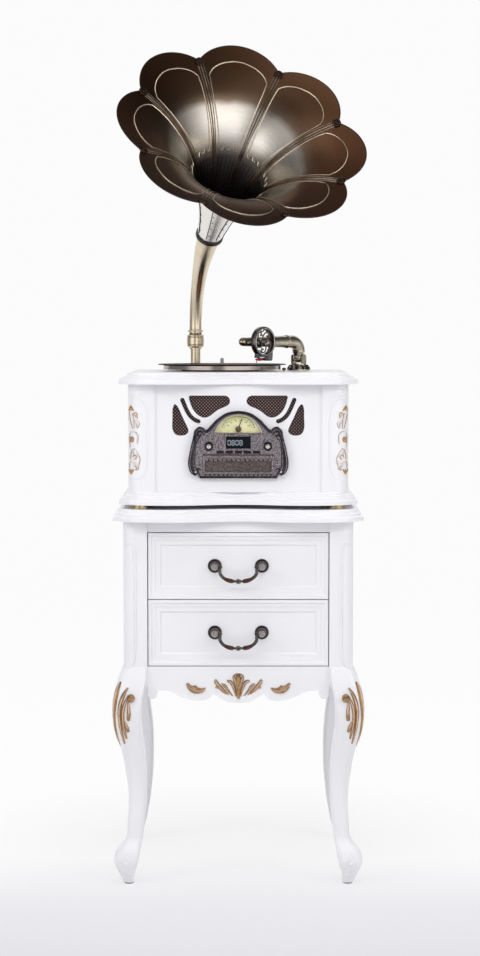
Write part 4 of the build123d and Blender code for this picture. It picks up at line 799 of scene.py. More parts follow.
def horn():
    """One of each piece, then eight copies round the axis: on the petals or on the seams."""
    seat = horn_place()
    pieces = [
        (petal_sheet(), None, "horn_bronze", True),
        (panel_outline(), horn_gilt, "horn_brass", True),
        (throat_flutes(), horn_edge, "horn_bronze", True),
        (rim_wire(), horn_edge, "rosette_bronze", True),
        (seam_ribs(), rib_bronze, "horn_brass", False),
        (outer_seam(), horn_edge, "horn_brass", False),
        (rosette(), rosette_bronze, "rosette_bronze", False),
    ]
    for piece, material, slot, on_petal in pieces:
        kind = piece.name.rsplit("_", 1)[0]
        first = PETAL_PHASE + (PETAL / 2 if on_petal else 0)
        for n in range(8):
            made = copy(piece, seat @ turn(first + PETAL * n), f"{kind}_{n + 1}_of_8")
            stands_for = {"horn_petal": ["horn_petals"], "horn_rosette": ["seam_rosettes"]}.get(kind, [])
            dress(made, material, "horn", slot, *stands_for)
        drop(piece)


horn()


# ---------------------------------------------------------------- radio front
FASCIA_FOOT = 774.0
FASCIA_FACE = -180.0
# the dial's window is a circle's cap: half its width, its rise and the height of its sill
CAP_HALF, CAP_RISE, CAP_SILL = 44.0, 35.0, 85.7
CAP_RADIUS = (CAP_HALF**2 + CAP_RISE**2) / (2 * CAP_RISE)
CAP_MIDDLE = CAP_SILL + CAP_RISE - CAP_RADIUS
KNOB_X, KNOB_Y = 55.5, 60.5

gunmetal = worn_metal(
    "gunmetal", (0.085, 0.075, 0.085), (0.016, 0.014, 0.018), (0.16, 0.32), 1200, patina=130
)
bright_pewter = worn_metal(
    "bright_pewter", (0.54, 0.50, 0.52), (0.13, 0.11, 0.12), (0.3, 0.5), 1500, patina=420
)
screw_steel = worn_metal("screw_steel", (0.85, 0.83, 0.80), (0.6, 0.58, 0.55), (0.15, 0.28), patina=300)
woven_bronze = hammered_pewter("woven_bronze", (0.30, 0.255, 0.235), (0.085, 0.066, 0.062))
digit_grey = moulded_plastic("digit_grey", (0.50, 0.56, 0.68), 0.5, 3000, 0.00001, 0.8)
dial_ink = moulded_plastic("dial_ink", (0.16, 0.12, 0.05), 0.6, 3000, 0.00001)


def front(y=FASCIA_FACE, foot=FASCIA_FOOT, x=0.0):
    """Stands a piece drawn flat, Y up, against the front: its Z then points at the room."""
    return shift(x, y, foot) @ turn(90, "X")


def bevelled_plate(name, outline, height, width, segments=3):
    """A plate with a rounded face edge."""
    piece = cut_plate(name, outline, height)
    with editing(piece, "EDGE"):
        select(piece, "edges", lambda c: c.z > (height - 0.01) * MM)
        bpy.ops.mesh.bevel(offset=width * MM, segments=segments, profile=0.5, affect="EDGES")
        tidy_mesh()
    smooth(piece, 40)
    return piece


def disc(x, y, radius, count=40):
    """The outline of a disc round (x, y)."""
    return [(x + radius * cos(tau * n / count), y + radius * sin(tau * n / count)) for n in range(count)]


def oblong(x, y, width, height):
    """The outline of a rectangle round (x, y)."""
    return [(x + sx * width / 2, y + sy * height / 2) for sx, sy in ((-1, -1), (1, -1), (1, 1), (-1, 1))]


def fascia_plate():
    """The cast frame with round edges: a foot, two side scrolls with ears, and an arch over the dial."""
    side = through(
        [(78, 7), (88, 10), (95, 28), (91, 52), (85.6, 68), (84.6, 82), (79.6, 92.4), (70, 97)], 6
    )
    arch = through([(70, 97), (65, 95.4), (60, 92), (50, 102), (40, 112), (22, 123.5), (0, 127.5)], 6)
    half = [(73.0, 0.0), (75.5, 3.5)] + [(p.x, p.y) for p in side[:-1] + arch]
    outline = half + [(-x, y) for x, y in half[-2::-1]]
    plate = bevelled_plate("fascia_plate", outline, 8.0, 1.0)
    spread = acos((CAP_SILL - CAP_MIDDLE) / CAP_RADIUS)
    sweep = [spread * n / 20 for n in range(-20, 21)]
    cap = [(CAP_RADIUS * sin(a), CAP_MIDDLE + CAP_RADIUS * cos(a)) for a in sweep]
    windows = [cap, oblong(0, 67.8, 46.6, 22.8), oblong(0, 24.8, 135.2, 38.2)]
    windows += [oblong(17.0 * n, 49.6, 13.7, 5.7) for n in range(-2, 3)]
    through_cuts = [place(cut_plate("cut", outline, 12), shift(0, 0, -2)) for outline in windows]
    sinks = [place(cut_plate("cut", disc(x, KNOB_Y, 9.2), 8), shift(0, 0, 5.0)) for x in (-KNOB_X, KNOB_X)]
    holes = [place(cut_plate("cut", disc(x, KNOB_Y, 3.3), 12), shift(0, 0, -2)) for x in (-KNOB_X, KNOB_X)]
    for cutter in (joined("cutter", through_cuts + sinks), joined("cutter", holes)):
        modify(plate, "BOOLEAN", operation="DIFFERENCE", object=cutter, solver="EXACT")
        drop(cutter)
    with editing(plate):
        tidy_mesh()
    smooth(plate, 35)
    dress(place(plate, front(FASCIA_FACE + 8.0)), pewter, "cabinet", "pewter", "radio_fascia")


def arch_rim():
    """The dark moulding that runs over the dial from ear to ear, with a thin lip inside it."""
    half = [(0, 124.8), (21.5, 120.9), (38.5, 109.8), (48, 100.0), (57, 90.6), (60.5, 88.0)]
    left = [(-x, y) for x, y in half[::-1]]
    outer = through([(x, y, 0.4) for x, y in left[:-1] + half], 5)
    inner = [(0.94 * p.x, p.y - 3.6, 0.2) for p in outer[4:-4]]
    rim = bead("fascia_arch", outer, 2.6, resolution=3)
    lip = bead("fascia_arch_lip", inner, 0.8)
    dress(place(rim, front()), gunmetal, "cabinet", "pewter")
    dress(place(lip, front()), bright_pewter, "cabinet", "pewter")


def mirrored_pair(piece, material, body, slot, inward=Matrix()):
    """A finished piece on the right of the fascia and its mirror image on the left."""
    left = copy(piece, front() @ Matrix.Scale(-1, 4, (1, 0, 0)) @ inward, piece.name + "_left")
    with editing(left):
        tidy_mesh()
    right = place(piece, front() @ inward)
    right.name = right.data.name = right.name + "_right"
    for made in (left, right):
        dress(made, material, body, slot)


def side_scroll():
    """A smooth crescent down each side, widest low down, with a bright bead along its outer edge as a
    painted highlight.
    """
    outer = through(
        [(79, 88), (84, 82), (87, 70), (90.5, 56), (94.3, 34), (93.5, 19), (88, 9), (80, 4.5)], 5
    )
    inner = through([(77, 11), (82, 14), (84.6, 24), (84.2, 44), (82.4, 60), (79, 74), (75, 84)], 5)
    outline = [(p.x, p.y) for p in outer + inner]
    mirrored_pair(bevelled_plate("side_scroll", outline, 2.6, 1.3), gunmetal, "cabinet", "pewter")
    # painted highlight: a bright pewter bead along the scroll's outer edge
    edge = [(p.x - 3.2, p.y, 2.7) for p in outer[10:-6]]
    mirrored_pair(
        bead("scroll_edge", edge, 0.7, taper=[0.4] + [1] * (len(edge) - 2) + [0.4]),
        bright_pewter,
        "cabinet",
        "pewter",
    )
    groove = through(
        [(71, 80, 0.2), (79.5, 66, 0.2), (81.6, 48, 0.2), (81.8, 26, 0.2), (79, 17, 0.2), (74.5, 12, 0.2)],
        5,
    )
    mirrored_pair(bead("scroll_welt", groove, 0.9), gunmetal, "cabinet", "pewter")


def belly(count, ends):
    """Shares of a stroke's radius, whole in the middle and smaller at both ends."""
    return [ends + (1 - ends) * sin(pi * n / (count - 1)) for n in range(count)]


# each leaf's radius and its line
EAR_LEAVES = (
    (2.1, ((62, 86, 1), (66, 93, 2.2), (73, 96, 2.6), (79, 91, 2.6), (81.5, 83, 1.6), (79, 76, 0.8))),
    (1.7, ((64, 82, 1), (69.5, 88, 2.4), (74.5, 88.5, 2.8), (76.5, 84, 2.4), (73, 80.5, 2),
           (69.5, 82.5, 1.6))),
    (1.3, ((83, 80, 0.6), (82.5, 87, 1.6), (79.5, 92.5, 1.8), (75, 95.8, 1))),
)


def ear_knot():
    """A curled leaf knot on each shoulder."""
    parts = []
    for radius, points in EAR_LEAVES:
        path = through(points, 5)
        parts.append(bead("leaf", path, radius, taper=belly(len(path), 0.5)))
    knot = joined("ear_knot", parts)
    mirrored_pair(knot, gunmetal, "cabinet", "pewter")
    vein = through([(65, 90, 2.8), (71, 94, 4.4), (77, 91, 4.6), (79.6, 84, 3.4)], 4)
    mirrored_pair(bead("ear_vein", vein, 0.45), bright_pewter, "cabinet", "pewter")


def corner_screws():
    """A domed slotted screw and its leaf bracket at each lower corner."""
    screw = turned("corner_screw", [(0, 3.6), (1.2, 3.4), (2.1, 2.8), (2.6, 1.8), (2.7, 0)], 24)
    slot_cut = cut_plate("slot", [(-3, -0.3), (3, -0.3), (3, 0.3), (-3, 0.3)], 2)
    place(slot_cut, shift(0, 0, 2.9) @ turn(35))
    modify(screw, "BOOLEAN", operation="DIFFERENCE", object=slot_cut, solver="EXACT")
    drop(slot_cut)
    smooth(screw, 35)
    mirrored_pair(screw, screw_steel, "cabinet", "pewter", shift(80.3, 12.4))
    leaf = through(
        [
            (70, 16, 0.6), (75.5, 18.6, 1.4), (78, 16.2, 1.2), (75.6, 11.5, 1.2), (72.8, 6, 0.8),
            (71.5, 2, 0.4),
        ],
        5,
    )
    bracket = bead("corner_bracket", leaf, 1.5, taper=belly(len(leaf), 0.6))
    mirrored_pair(bracket, gunmetal, "cabinet", "pewter")


def fascia_mouldings():
    """A dark bar at the foot and a fine welt under the buttons."""
    foot = bevelled_plate(
        "fascia_foot_bar", [(-72.5, 0.4), (72.5, 0.4), (72.5, 4.2), (-72.5, 4.2)], 2.0, 0.9
    )
    dress(place(foot, front()), gunmetal, "cabinet", "pewter")
    welt = bevelled_plate(
        "button_welt", [(-66.5, 44.1), (66.5, 44.1), (66.5, 45.3), (-66.5, 45.3)], 0.7, 0.3, 2
    )
    dress(place(welt, front()), gunmetal, "cabinet", "pewter")


def dial_face():
    """A rolled bezel, two scale arcs, ticks and plain numbers."""
    spread = atan2(43.4, 86.5 - CAP_MIDDLE)
    sweep = [spread * (n / 20 - 1) for n in range(41)]
    bezel = [(CAP_RADIUS * sin(a), CAP_MIDDLE + CAP_RADIUS * cos(a), 0.2) for a in sweep]
    dress(place(bead("dial_bezel", bezel, 1.0), front()), screw_steel, "cabinet", "pewter")
    foot = bead("dial_sill", [(-43.6, 85.6, 0.1), (0, 85.6, 0.1), (43.6, 85.6, 0.1)], 0.7)
    dress(place(foot, front()), bright_pewter, "cabinet", "pewter")
    paper = FASCIA_FACE + 6.95
    # the scales are ellipses round the pointer's hub
    hub, wide = 92.8, 1.32
    marks = []
    for reach, thick in ((23.6, 0.3), (19.6, 0.22)):
        arc = [
            (wide * reach * sin(radians(a)), hub + reach * cos(radians(a)), 0.1) for a in range(-84, 85, 6)
        ]
        marks.append(bead("arc", arc, thick, resolution=0))
    for n in range(25):
        a = radians(-81 + 162 * n / 24)
        inner = 21.7 if n % 2 else 20.2
        tick = [(wide * reach * sin(a), hub + reach * cos(a), 0.1) for reach in (inner, 22.8, 23.4)]
        marks.append(bead("tick", tick, 0.32, resolution=0))
    dress(place(joined("dial_scale", marks), front(paper)), dial_ink, "cabinet", "dial_cream")
    numbers = []
    for n, value in enumerate(("88", "92", "96", "100", "104", "108")):
        a = radians(-66 + 132 * n / 5)
        bpy.ops.object.text_add()
        text = bpy.context.object
        text.data.body = value
        text.data.size = 4.4 * MM
        text.data.align_x = "CENTER"
        text.data.align_y = "CENTER"
        text.data.extrude = 0.1 * MM
        take(text)
        bpy.ops.object.convert(target="MESH")
        with editing(text):
            tidy_mesh()
        numbers.append(place(text, shift(wide * 16.2 * sin(a), hub + 16.2 * cos(a), 0.1)))
    dress(place(joined("dial_numbers", numbers), front(paper)), dial_ink, "cabinet", "dial_cream")
    boss = turned("pointer_boss", [(0, 2.2), (3.2, 2.0), (4.9, 1.2), (5.2, 0)], 32)
    smooth(boss)
    seat = front(-176.4, FASCIA_FOOT + hub)
    dress(place(boss, seat), pointer_bronze, "dial_pointer", "pointer_bronze")


def lit_digits():
    """A stepped bezel round the display and four seven-bar digits, 0808."""
    half_x, low, high = 22.9, 56.8, 78.6
    ring = [(-half_x, low, 0.3), (half_x, low, 0.3), (half_x, high, 0.3), (-half_x, high, 0.3)]
    dress(place(bead("display_bezel", ring, 0.8, closed=True), front()), gunmetal, "cabinet", "pewter")
    bars = {
        "a": (0, 4.5, 0),
        "b": (2.3, 2.3, 90),
        "c": (2.3, -2.3, 90),
        "d": (0, -4.5, 0),
        "e": (-2.3, -2.3, 90),
        "f": (-2.3, 2.3, 90),
        "g": (0, 0, 0),
    }
    lit = {"0": "abcdef", "8": "abcdefg"}
    bar = cut_plate(
        "bar", [(-2.0, 0), (-1.4, 0.55), (1.4, 0.55), (2.0, 0), (1.4, -0.55), (-1.4, -0.55)], 0.25
    )
    made = []
    for place_number, digit in enumerate("0808"):
        for key in lit[digit]:
            x, y, angle = bars[key]
            made.append(copy(bar, shift(-17.2 + 7.4 * place_number + x, 67.2 + y, 0) @ turn(angle)))
    drop(bar)
    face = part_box("display_module")[0].y / MM
    dress(place(joined("display_digits", made), front(face)), digit_grey, "cabinet", "display_black")


def knobs():
    """Each knob is a dark knurled skirt with a polished ball, in a light ring on the fascia."""
    skirt = turned(
        "knob_skirt", [(0, 0), (7.9, 0), (8.1, 1.2), (7.4, 2.6), (6.2, 3.0), (5.6, 2.2), (0, 2.2)], 48
    )
    ball = turned(
        "knob_ball",
        [(0, 1.8), (3.6, 1.8), (4.9, 3.6), (5.4, 6.0), (5.0, 8.2), (3.7, 9.9), (2.0, 10.8), (0, 11.1)],
        48,
    )
    smooth(skirt)
    smooth(ball, 60)
    mark = bead("knob_mark", [(0, 2.4, 10.4), (0, 3.9, 9.5), (0, 4.9, 8.0)], 0.35)
    ring = turned("knob_ring", [(8.5, 0), (8.5, 0.7), (9.0, 1.0), (9.6, 0.7), (9.6, 0), (8.5, 0)], 48)
    smooth(ring)
    for side, name in ((-1, "volume_knob"), (1, "tuning_knob")):
        x, height = KNOB_X * side, FASCIA_FOOT + KNOB_Y
        seat = front(-177.0, height, x)
        dress(copy(skirt, seat, name + "_skirt"), gunmetal, name, "knob_chrome", name)
        dress(copy(ball, seat, name + "_ball"), screw_steel, name, "knob_chrome", name)
        dress(copy(mark, seat, name + "_mark"), gunmetal, name, "knob_chrome")
        ring_here = copy(ring, front(FASCIA_FACE, height, x), name + "_ring")
        dress(ring_here, bright_pewter, "cabinet", "pewter")
    for piece in (skirt, ball, mark, ring):
        drop(piece)


def tray_front():
    """Two rows of scallops and a framed woven panel on the disc tray's front."""
    scallop = bead(
        "scallop", [(3.3 * cos(radians(a)), 2.7 * sin(radians(a)), 0.25) for a in range(0, 181, 20)], 0.75
    )
    seed = turned("seed", [(0, 1.5), (1.0, 1.3), (1.6, 0)], 12)
    scallops, seeds = [], []
    for foot, count, reach in ((34.4, 14, 55.5), (6.6, 16, 61.5)):
        for n in range(count):
            x = -reach + 2 * reach * n / (count - 1)
            scallops.append(copy(scallop, shift(x, foot)))
            seeds.append(copy(seed, shift(x, foot + 0.2)))
    drop(scallop)
    drop(seed)
    face = -180.0
    dress(place(joined("tray_scallops", scallops), front(face)), bright_pewter, "cd_tray", "tray_pewter")
    dress(place(joined("tray_seeds", seeds), front(face)), gunmetal, "cd_tray", "tray_pewter")
    frame_line = [(-62, 13.6, 0.1), (62, 13.6, 0.1), (62, 31.8, 0.1), (-62, 31.8, 0.1)]
    panel_frame = bead("tray_panel_frame", frame_line, 0.7, closed=True)
    dress(place(panel_frame, front(face)), gunmetal, "cd_tray", "tray_pewter")
    strands = []
    for n in range(30):
        x = -60.2 + 120.4 * n / 29
        wave = [(x, 14.6 + 16.2 * k / 9, 0.35 + 0.3 * (1 if (n + k) % 2 else -1)) for k in range(10)]
        strands.append(bead("strand", wave, 0.85, resolution=1))
    for n in range(8):
        z = 15.4 + 14.6 * n / 7
        wave = [(-60.6 + 121.2 * k / 59, z, 0.3 + 0.3 * (1 if (n + k) % 2 else -1)) for k in range(60)]
        strands.append(bead("strand", wave, 0.6, resolution=1))
    dress(place(joined("tray_weave", strands), front(face)), woven_bronze, "cd_tray", "tray_pewter")


def radio_front():
    """The whole front of the radio: the cast frame and what it carries."""
    fascia_plate()
    arch_rim()
    side_scroll()
    ear_knot()
    corner_screws()
    fascia_mouldings()
    dial_face()
    lit_digits()
    knobs()
    tray_front()


radio_front()


# ---------------------------------------------------------------- carving
# pale_gilt also colours the painted highlight ridges on the knees and the shell
pale_gilt = worn_metal("pale_gilt", (0.95, 0.80, 0.62), (0.66, 0.45, 0.30), (0.26, 0.4), 900, patina=260)
pale_relief = moulded_plastic("pale_relief", (0.86, 0.77, 0.74), 0.45, 900, 0.00003, 0.86)
# umber_shade colours the painted shadow lines beside the vine stems
umber_shade = moulded_plastic("umber_shade", (0.30, 0.21, 0.19), 0.55, 900, 0.00003, 0.5)
bud_gold = worn_metal("bud_gold", (0.86, 0.60, 0.30), (0.42, 0.24, 0.11), (0.3, 0.45), 900, patina=260)
old_gold = worn_metal("old_gold", (0.66, 0.43, 0.24), (0.27, 0.15, 0.075), (0.28, 0.42), 900, patina=180)


def behind(x, z, names):
    """The nearest surface behind (x, z) seen from the front, and its normal, in millimetres."""
    found = []
    for name in names:
        hit, at, normal, _ = nodes[name].ray_cast(Vector((x * MM, -0.5, z * MM)), Vector((0, 1, 0)))
        if hit:
            found.append((at.y, at, normal))
    if not found:
        return None
    _, at, normal = min(found, key=lambda one: one[0])
    return at / MM, normal


def laid(points, lift, names, steps=5):
    """A smooth curve through (x, z) points, laid on the surface behind them and lifted off it."""
    made = []
    for point in through([(x, 0, z) for x, z in points], steps):
        seat = behind(point.x, point.z, names)
        if seat:
            made.append(seat[0] + seat[1] * lift)
    return made


def swell(count, start=0.5, end=0.25, peak=0.35):
    """Shares of a stroke's radius, fullest at peak and thinner at both ends."""
    made = []
    for n in range(count):
        s = n / (count - 1)
        side = s / peak if s < peak else (1 - s) / (1 - peak)
        low = start if s < peak else end
        made.append(low + (1 - low) * sin(0.5 * pi * side))
    return made


def stroke(points, radius, names, lift=0.3, start=0.5, end=0.25, peak=0.35, resolution=2):
    """A carved line laid on the surfaces behind (x, z) points, swelling to its radius at peak."""
    path = laid(points, lift, names)
    return bead("stroke", path, radius, taper=swell(len(path), start, end, peak), resolution=resolution)


def seated(x, z, names, lift=0.0):
    """A placement on the surface behind (x, z), its Z along the surface's normal."""
    at, normal = behind(x, z, names)
    return Matrix.Translation(
        (at + normal * lift) * MM
    ) @ normal.to_track_quat("Z", "Y").to_matrix().to_4x4()


def both_fronts(name, pieces, material, slot, *stands_for):
    """Carving made for the right side, and its mirror image on the left."""
    right = joined(name + "_right", pieces)
    left = copy(right, Matrix.Scale(-1, 4, (1, 0, 0)), name + "_left")
    with editing(left):
        tidy_mesh()
    dress(right, material, "cabinet", slot, *stands_for)
    dress(left, material, "cabinet", slot)


# each lobe's line, its radius, where along it is fullest and how full its end is
KNEE_LOBES = (
    (((222.4, 389.5), (228.0, 375.6), (232.2, 356.3), (234.3, 337.4), (234.0, 315.3), (231.0, 293.2),
      (226.4, 274.2), (222.6, 257.5)), 5.6, 0.22, 0.35),
    (((208.2, 379.2), (215.6, 368.0), (222.0, 351.6), (224.9, 334.2), (224.2, 315.3), (221.4, 296.3),
      (217.6, 280.5), (215.4, 271.3)), 4.0, 0.25, 0.5),
    (((208.6, 362.5), (214.4, 349.4), (218.0, 334.2), (218.3, 318.4), (216.3, 302.7), (213.4, 290.0),
      (211.6, 281.5)), 3.6, 0.3, 0.6),
    (((208.1, 352.6), (207.2, 340.4), (207.0, 328.0), (207.6, 317.1)), 4.0, 0.75, 0.8),
    (((215.1, 315.7), (212.4, 308.4), (209.6, 301.1), (207.6, 294.7)), 3.4, 0.6, 0.75),
)


def knees():
    """A fan of rounded lobes and a ball on each front knee, with a pale gilt ridge along each lobe as a
    painted highlight.
    """
    names = ("front_legs",)
    lobes, highlight_ridges = [], []
    for points, radius, peak, end in KNEE_LOBES:
        lobes.append(stroke(points, radius, names, -0.2 * radius, 0.45, end, peak, 3))
        # painted highlight: a thin pale gilt ridge lifted along each lobe
        inner = [(x - 0.12 * radius, z) for x, z in points[:-1]]
        highlight_ridges.append(stroke(inner, 0.36 * radius, names, 0.60 * radius, 0.2, 0.15, peak))
    ball = turned(
        "ball",
        [
            (0, 7.2), (2.6, 6.8), (5.0, 5.2), (6.7, 2.6), (7.3, 0), (7.0, -2.2), (8.3, -2.8), (8.3, -4.6),
            (6, -6),
        ],
        32,
    )
    smooth(ball, 60)
    lobes.append(place(ball, seated(203.0, 359.5, names, 2.6)))
    both_fronts("knee_lobes", lobes, old_gold, "gilt", "cabinet_carvings")
    both_fronts("knee_ridges", highlight_ridges, pale_gilt, "gilt")


FOOT_CURLS = (
    ((214.7, 62.6), (219.6, 52.4), (218.1, 44.6), (212.8, 41.6), (208.8, 47.0), (211.3, 54.3)),
    ((211.6, 30.5), (210.9, 23.9), (206.6, 20.3), (200.6, 19.4), (193.8, 19.9)),
)


def foot_scrolls():
    """The lacquered curl on each front foot."""
    curls = [stroke(points, 2.4, ("front_legs",), 0.0, 0.3, 0.3, 0.5) for points in FOOT_CURLS]
    both_fronts("foot_scroll", curls, lacquer, "white_lacquer")


# each lobe's line and its radius
PALMETTE_LOBES = (
    (((21.6, 389.4), (15.4, 388.0), (11.4, 382.6), (6.6, 369.3), (4.4, 359.2)), 3.3),
    (((44.0, 392.0), (41.4, 386.0), (36.0, 379.5), (27.4, 371.7), (17.5, 362.4)), 3.8),
    (((43.4, 377.0), (36.3, 376.2), (29.4, 369.7), (23.0, 364.0)), 2.6),
    (((31.5, 383.6), (25.4, 380.0), (19.4, 371.7), (11.8, 360.9)), 3.0),
    (((23.2, 376.7), (18.0, 370.7), (9.0, 359.9)), 1.6),
    (((9.2, 398.6), (6.6, 390.0), (3.2, 376.0), (1.9, 360.0)), 3.4),
)


def apron_carving():
    """A shell in the middle of the apron and a leaf on each side of it, with pale gilt ridges on the shell
    lobes as painted highlights.
    """
    names = ("front_apron",)
    lobes = [
        stroke(points, radius, names, -0.1 * radius, 0.6, 0.3, 0.3, 3) for points, radius in PALMETTE_LOBES
    ]
    # painted highlight: a thin pale gilt ridge lifted along each shell lobe
    highlight_ridges = [
        stroke([(x - 0.3, z) for x, z in points[:-1]], 0.36 * radius, names, 0.72 * radius, 0.2, 0.15, 0.3)
        for points, radius in PALMETTE_LOBES
    ]
    both_fronts("shell_lobes", lobes, old_gold, "gilt")
    both_fronts("shell_ridges", highlight_ridges, pale_gilt, "gilt")
    middle = stroke([(0, 400.5), (0, 392), (0, 378), (0, 355.5)], 5.0, names, -0.2, 0.7, 0.55, 0.25, 3)
    head = stroke(
        [(-10.2, 397.5), (-6, 401.4), (0, 402.2), (6, 401.4), (10.2, 397.5)],
        1.8,
        names,
        0.3,
        0.6,
        0.6,
        0.5,
        3,
    )
    dress(joined("shell_middle", [middle, head]), old_gold, "cabinet", "gilt")
    outline = [
        (61.4, 376.8), (63.4, 371.6), (68.2, 367.4), (76, 365.2), (84.8, 365.6), (91.5, 369.6), (96.5, 376),
        (99.6, 384.8), (94.5, 385.4), (90.2, 381.6), (85.5, 379.8), (80.8, 381.2), (76.8, 377.4),
        (70.5, 375.4),
    ]
    depth = behind(80, 372, names)[0].y
    leaf = place(bevelled_plate("apron_leaf", outline, 2.6, 1.6, 4), front(depth, 0))
    rib = stroke(
        [(98.0, 383.0), (90.0, 375.0), (80.0, 371.0), (70.0, 370.6), (63.6, 374.2)],
        1.0,
        names,
        2.7,
        0.4,
        0.4,
        0.5,
    )
    side = stroke([(92.5, 381.8), (86.0, 376.6), (78.0, 374.6)], 0.8, names, 2.6, 0.4, 0.3, 0.4)
    both_fronts("apron_leaf", [leaf], old_gold, "gilt")
    both_fronts("apron_leaf_ribs", [rib, side], pale_gilt, "gilt")


def post_x(inward):
    """The x of a point so far inward of the line down the right post's quarter round."""
    return 203.0 - inward


def vine_strokes(groups, names, lift=0.2):
    """Strokes from (distance inward, height) points, laid on the post."""
    made = []
    for points, radius in groups:
        path = laid([(post_x(u), z) for u, z in points], lift, names, 4)
        made.append(bead("stem", path, radius, taper=swell(len(path), 0.6, 0.5, 0.5), resolution=2))
    return made


# each stem's (distance inward, height) points and its radius
VINE_STEMS = (
    (((-4.0, 901.0), (-3.2, 893), (-1.9, 885.8), (0.4, 876), (2.4, 867.7)), 1.5),
    (((1.8, 897.0), (3.6, 890), (5.0, 882.9), (5.6, 868.2)), 1.4),
    (((-2.6, 880), (-4.2, 886), (-3.6, 894)), 1.0),
    (((5.4, 884.4), (10.0, 884.4), (15.3, 879.6), (14.0, 873.6), (11.6, 868.6)), 1.5),
    (((8.0, 880.0), (10.6, 876.0), (9.8, 869.8)), 1.1),
    (((-1.8, 865.2), (2.4, 862.6), (6.2, 863.6), (11.0, 858.6)), 1.5),
    (((9.1, 861.9), (12.6, 855.4), (12.6, 847.7), (11.6, 839.1)), 1.2),
    (((-1.6, 861.0), (-3.4, 853.0), (-3.2, 842.0), (-1.8, 834.8)), 1.1),
    (((-3.2, 834.8), (-0.6, 830.7), (3.2, 829.4), (7.4, 831.0)), 1.5),
    (((1.6, 828.2), (-0.8, 820.0), (-1.6, 812.3), (-1.0, 806.0)), 1.6),
    (((8.1, 828.7), (11.8, 822.6), (14.8, 816.2), (16.8, 811.4)), 1.3),
    (((3.8, 827.0), (4.6, 820.0), (8.6, 816.4)), 1.2),
    (((-0.8, 809.5), (4.2, 806.0), (9.6, 803.0), (13.2, 797.6), (13.0, 790.8)), 1.9),
    (((1.6, 803.4), (5.8, 799.4), (9.2, 794.4)), 1.4),
    (((-2.4, 806.0), (-3.6, 799.6), (-3.2, 793.2)), 1.3),
    (((16.6, 812.0), (15.4, 804.0), (13.4, 797.0)), 1.0),
)

VINE_HOOKS = (
    (((4.2, 889.9), (5.8, 895.4), (9.4, 897.8), (12.6, 895.0), (12.2, 890.2), (13.6, 886.6)), 1.2),
    (((7.2, 893.6), (9.2, 891.8), (9.6, 888.8)), 1.0),
    (((4.4, 813.0), (5.2, 816.6), (8.6, 817.4), (11.2, 814.6), (10.0, 811.0), (6.8, 810.2)), 1.2),
    (((9.4, 796.4), (12.4, 792.6), (10.6, 789.6), (7.6, 791.2)), 1.1),
)


def vines():
    """A vine on each front post's quarter round: buds at the ends, a ring in the middle, stems between,
    with thin umber lines beside the stems as painted shadow.
    """
    names = ("player_corner_posts",)
    raised = [(points, 1.55 * radius) for points, radius in VINE_STEMS]
    # painted shadow: thin umber lines offset beside each stem
    painted_shadow_lines = [([(u + 1.5, z - 0.8) for u, z in points], 0.42 * radius) for points, radius in VINE_STEMS]
    both_fronts(
        "vine_stems", vine_strokes(raised, names, -0.6), pale_relief, "rose_gilt", "player_carvings"
    )
    both_fronts("vine_shades", vine_strokes(painted_shadow_lines, names, 0.5), umber_shade, "rose_gilt")
    hooks = vine_strokes(VINE_HOOKS, names, 0.5)
    for flip, foot in ((1, 911.6), (-1, 780.4)):
        for inner, outer, radius in ((0.6, -3.9, 1.5), (0.8, 5.6, 1.6), (0.6, 0.8, 1.9)):
            path = [(0.0, foot), (0.5 * (inner + outer), foot - 5.5 * flip), (outer, foot - 10.5 * flip)]
            laid_path = laid([(post_x(u), z) for u, z in path], 0.5, names, 4)
            hooks.append(bead("bud", laid_path, radius, taper=swell(len(laid_path), 0.35, 0.7, 0.6)))
    ring = turned(
        "ring", [(3.3, -0.5), (3.2, 1.0), (3.9, 2.0), (4.9, 2.1), (5.6, 1.2), (5.8, -0.5), (3.3, -0.5)], 32
    )
    smooth(ring, 60)
    button = turned("button", [(0, 1.5), (1.2, 1.2), (2.0, 0.3), (2.1, -0.5)], 20)
    smooth(button, 60)
    seat = seated(post_x(2.4), 847.2, names)
    hooks += [place(ring, seat), place(button, seat)]
    both_fronts("vine_buds", hooks, bud_gold, "rose_gilt")


def post_panels():
    """A raised line that frames each vine, and two fine rings round the post above it."""
    names = ("player_corner_posts",)
    half = [(200, 922.6), (190, 923.4), (180.5, 918.6), (175, 908.0), (172.4, 893.0), (171.6, 870.0)]
    lower = [(171.6, 830.0), (172.6, 800.0), (176.0, 785.0), (183.5, 775.6), (194, 772.2), (203, 771.6)]
    both_fronts(
        "post_panel_line", [stroke(half + lower, 1.8, names, -0.3, 0.5, 0.5, 0.5)], lacquer, "white_lacquer"
    )
    rings = [
        stroke([(207.5, z), (203, z), (196, z), (188, z), (182, z)], 1.5, names, -0.2, 0.6, 0.5, 0.5)
        for z in (930.5, 940.0)
    ]
    both_fronts("post_top_rings", rings, lacquer, "white_lacquer")


def corner_columns():
    """A raised reed down each front corner of the cabinet, with a rounded leaf end at its foot."""
    names = ("front_legs",)
    upper = [(213.0, 641), (208.5, 650), (201.8, 651.5), (196.8, 644), (195.2, 628), (194.8, 600)]
    lower = [(194.8, 520), (195.0, 455), (196.6, 432), (201.5, 420), (208.6, 415.5), (212.6, 415)]
    both_fronts(
        "corner_column_edge",
        [stroke(upper + lower, 2.3, names, -0.2, 0.6, 0.6, 0.5)],
        lacquer,
        "white_lacquer",
    )


knees()
apron_carving()
vines()
post_panels()
corner_columns()
foot_scrolls()


# ---------------------------------------------------------------- drawer handles
# a bail's half width, its drop below its pivot and how square its curve is
BAIL_HALF, BAIL_DROP, BAIL_POWER = 36.0, 27.0, 2.6
PIVOT_Y, PANEL_Y, ROSETTE_X = -201.0, -177.5, 44.5

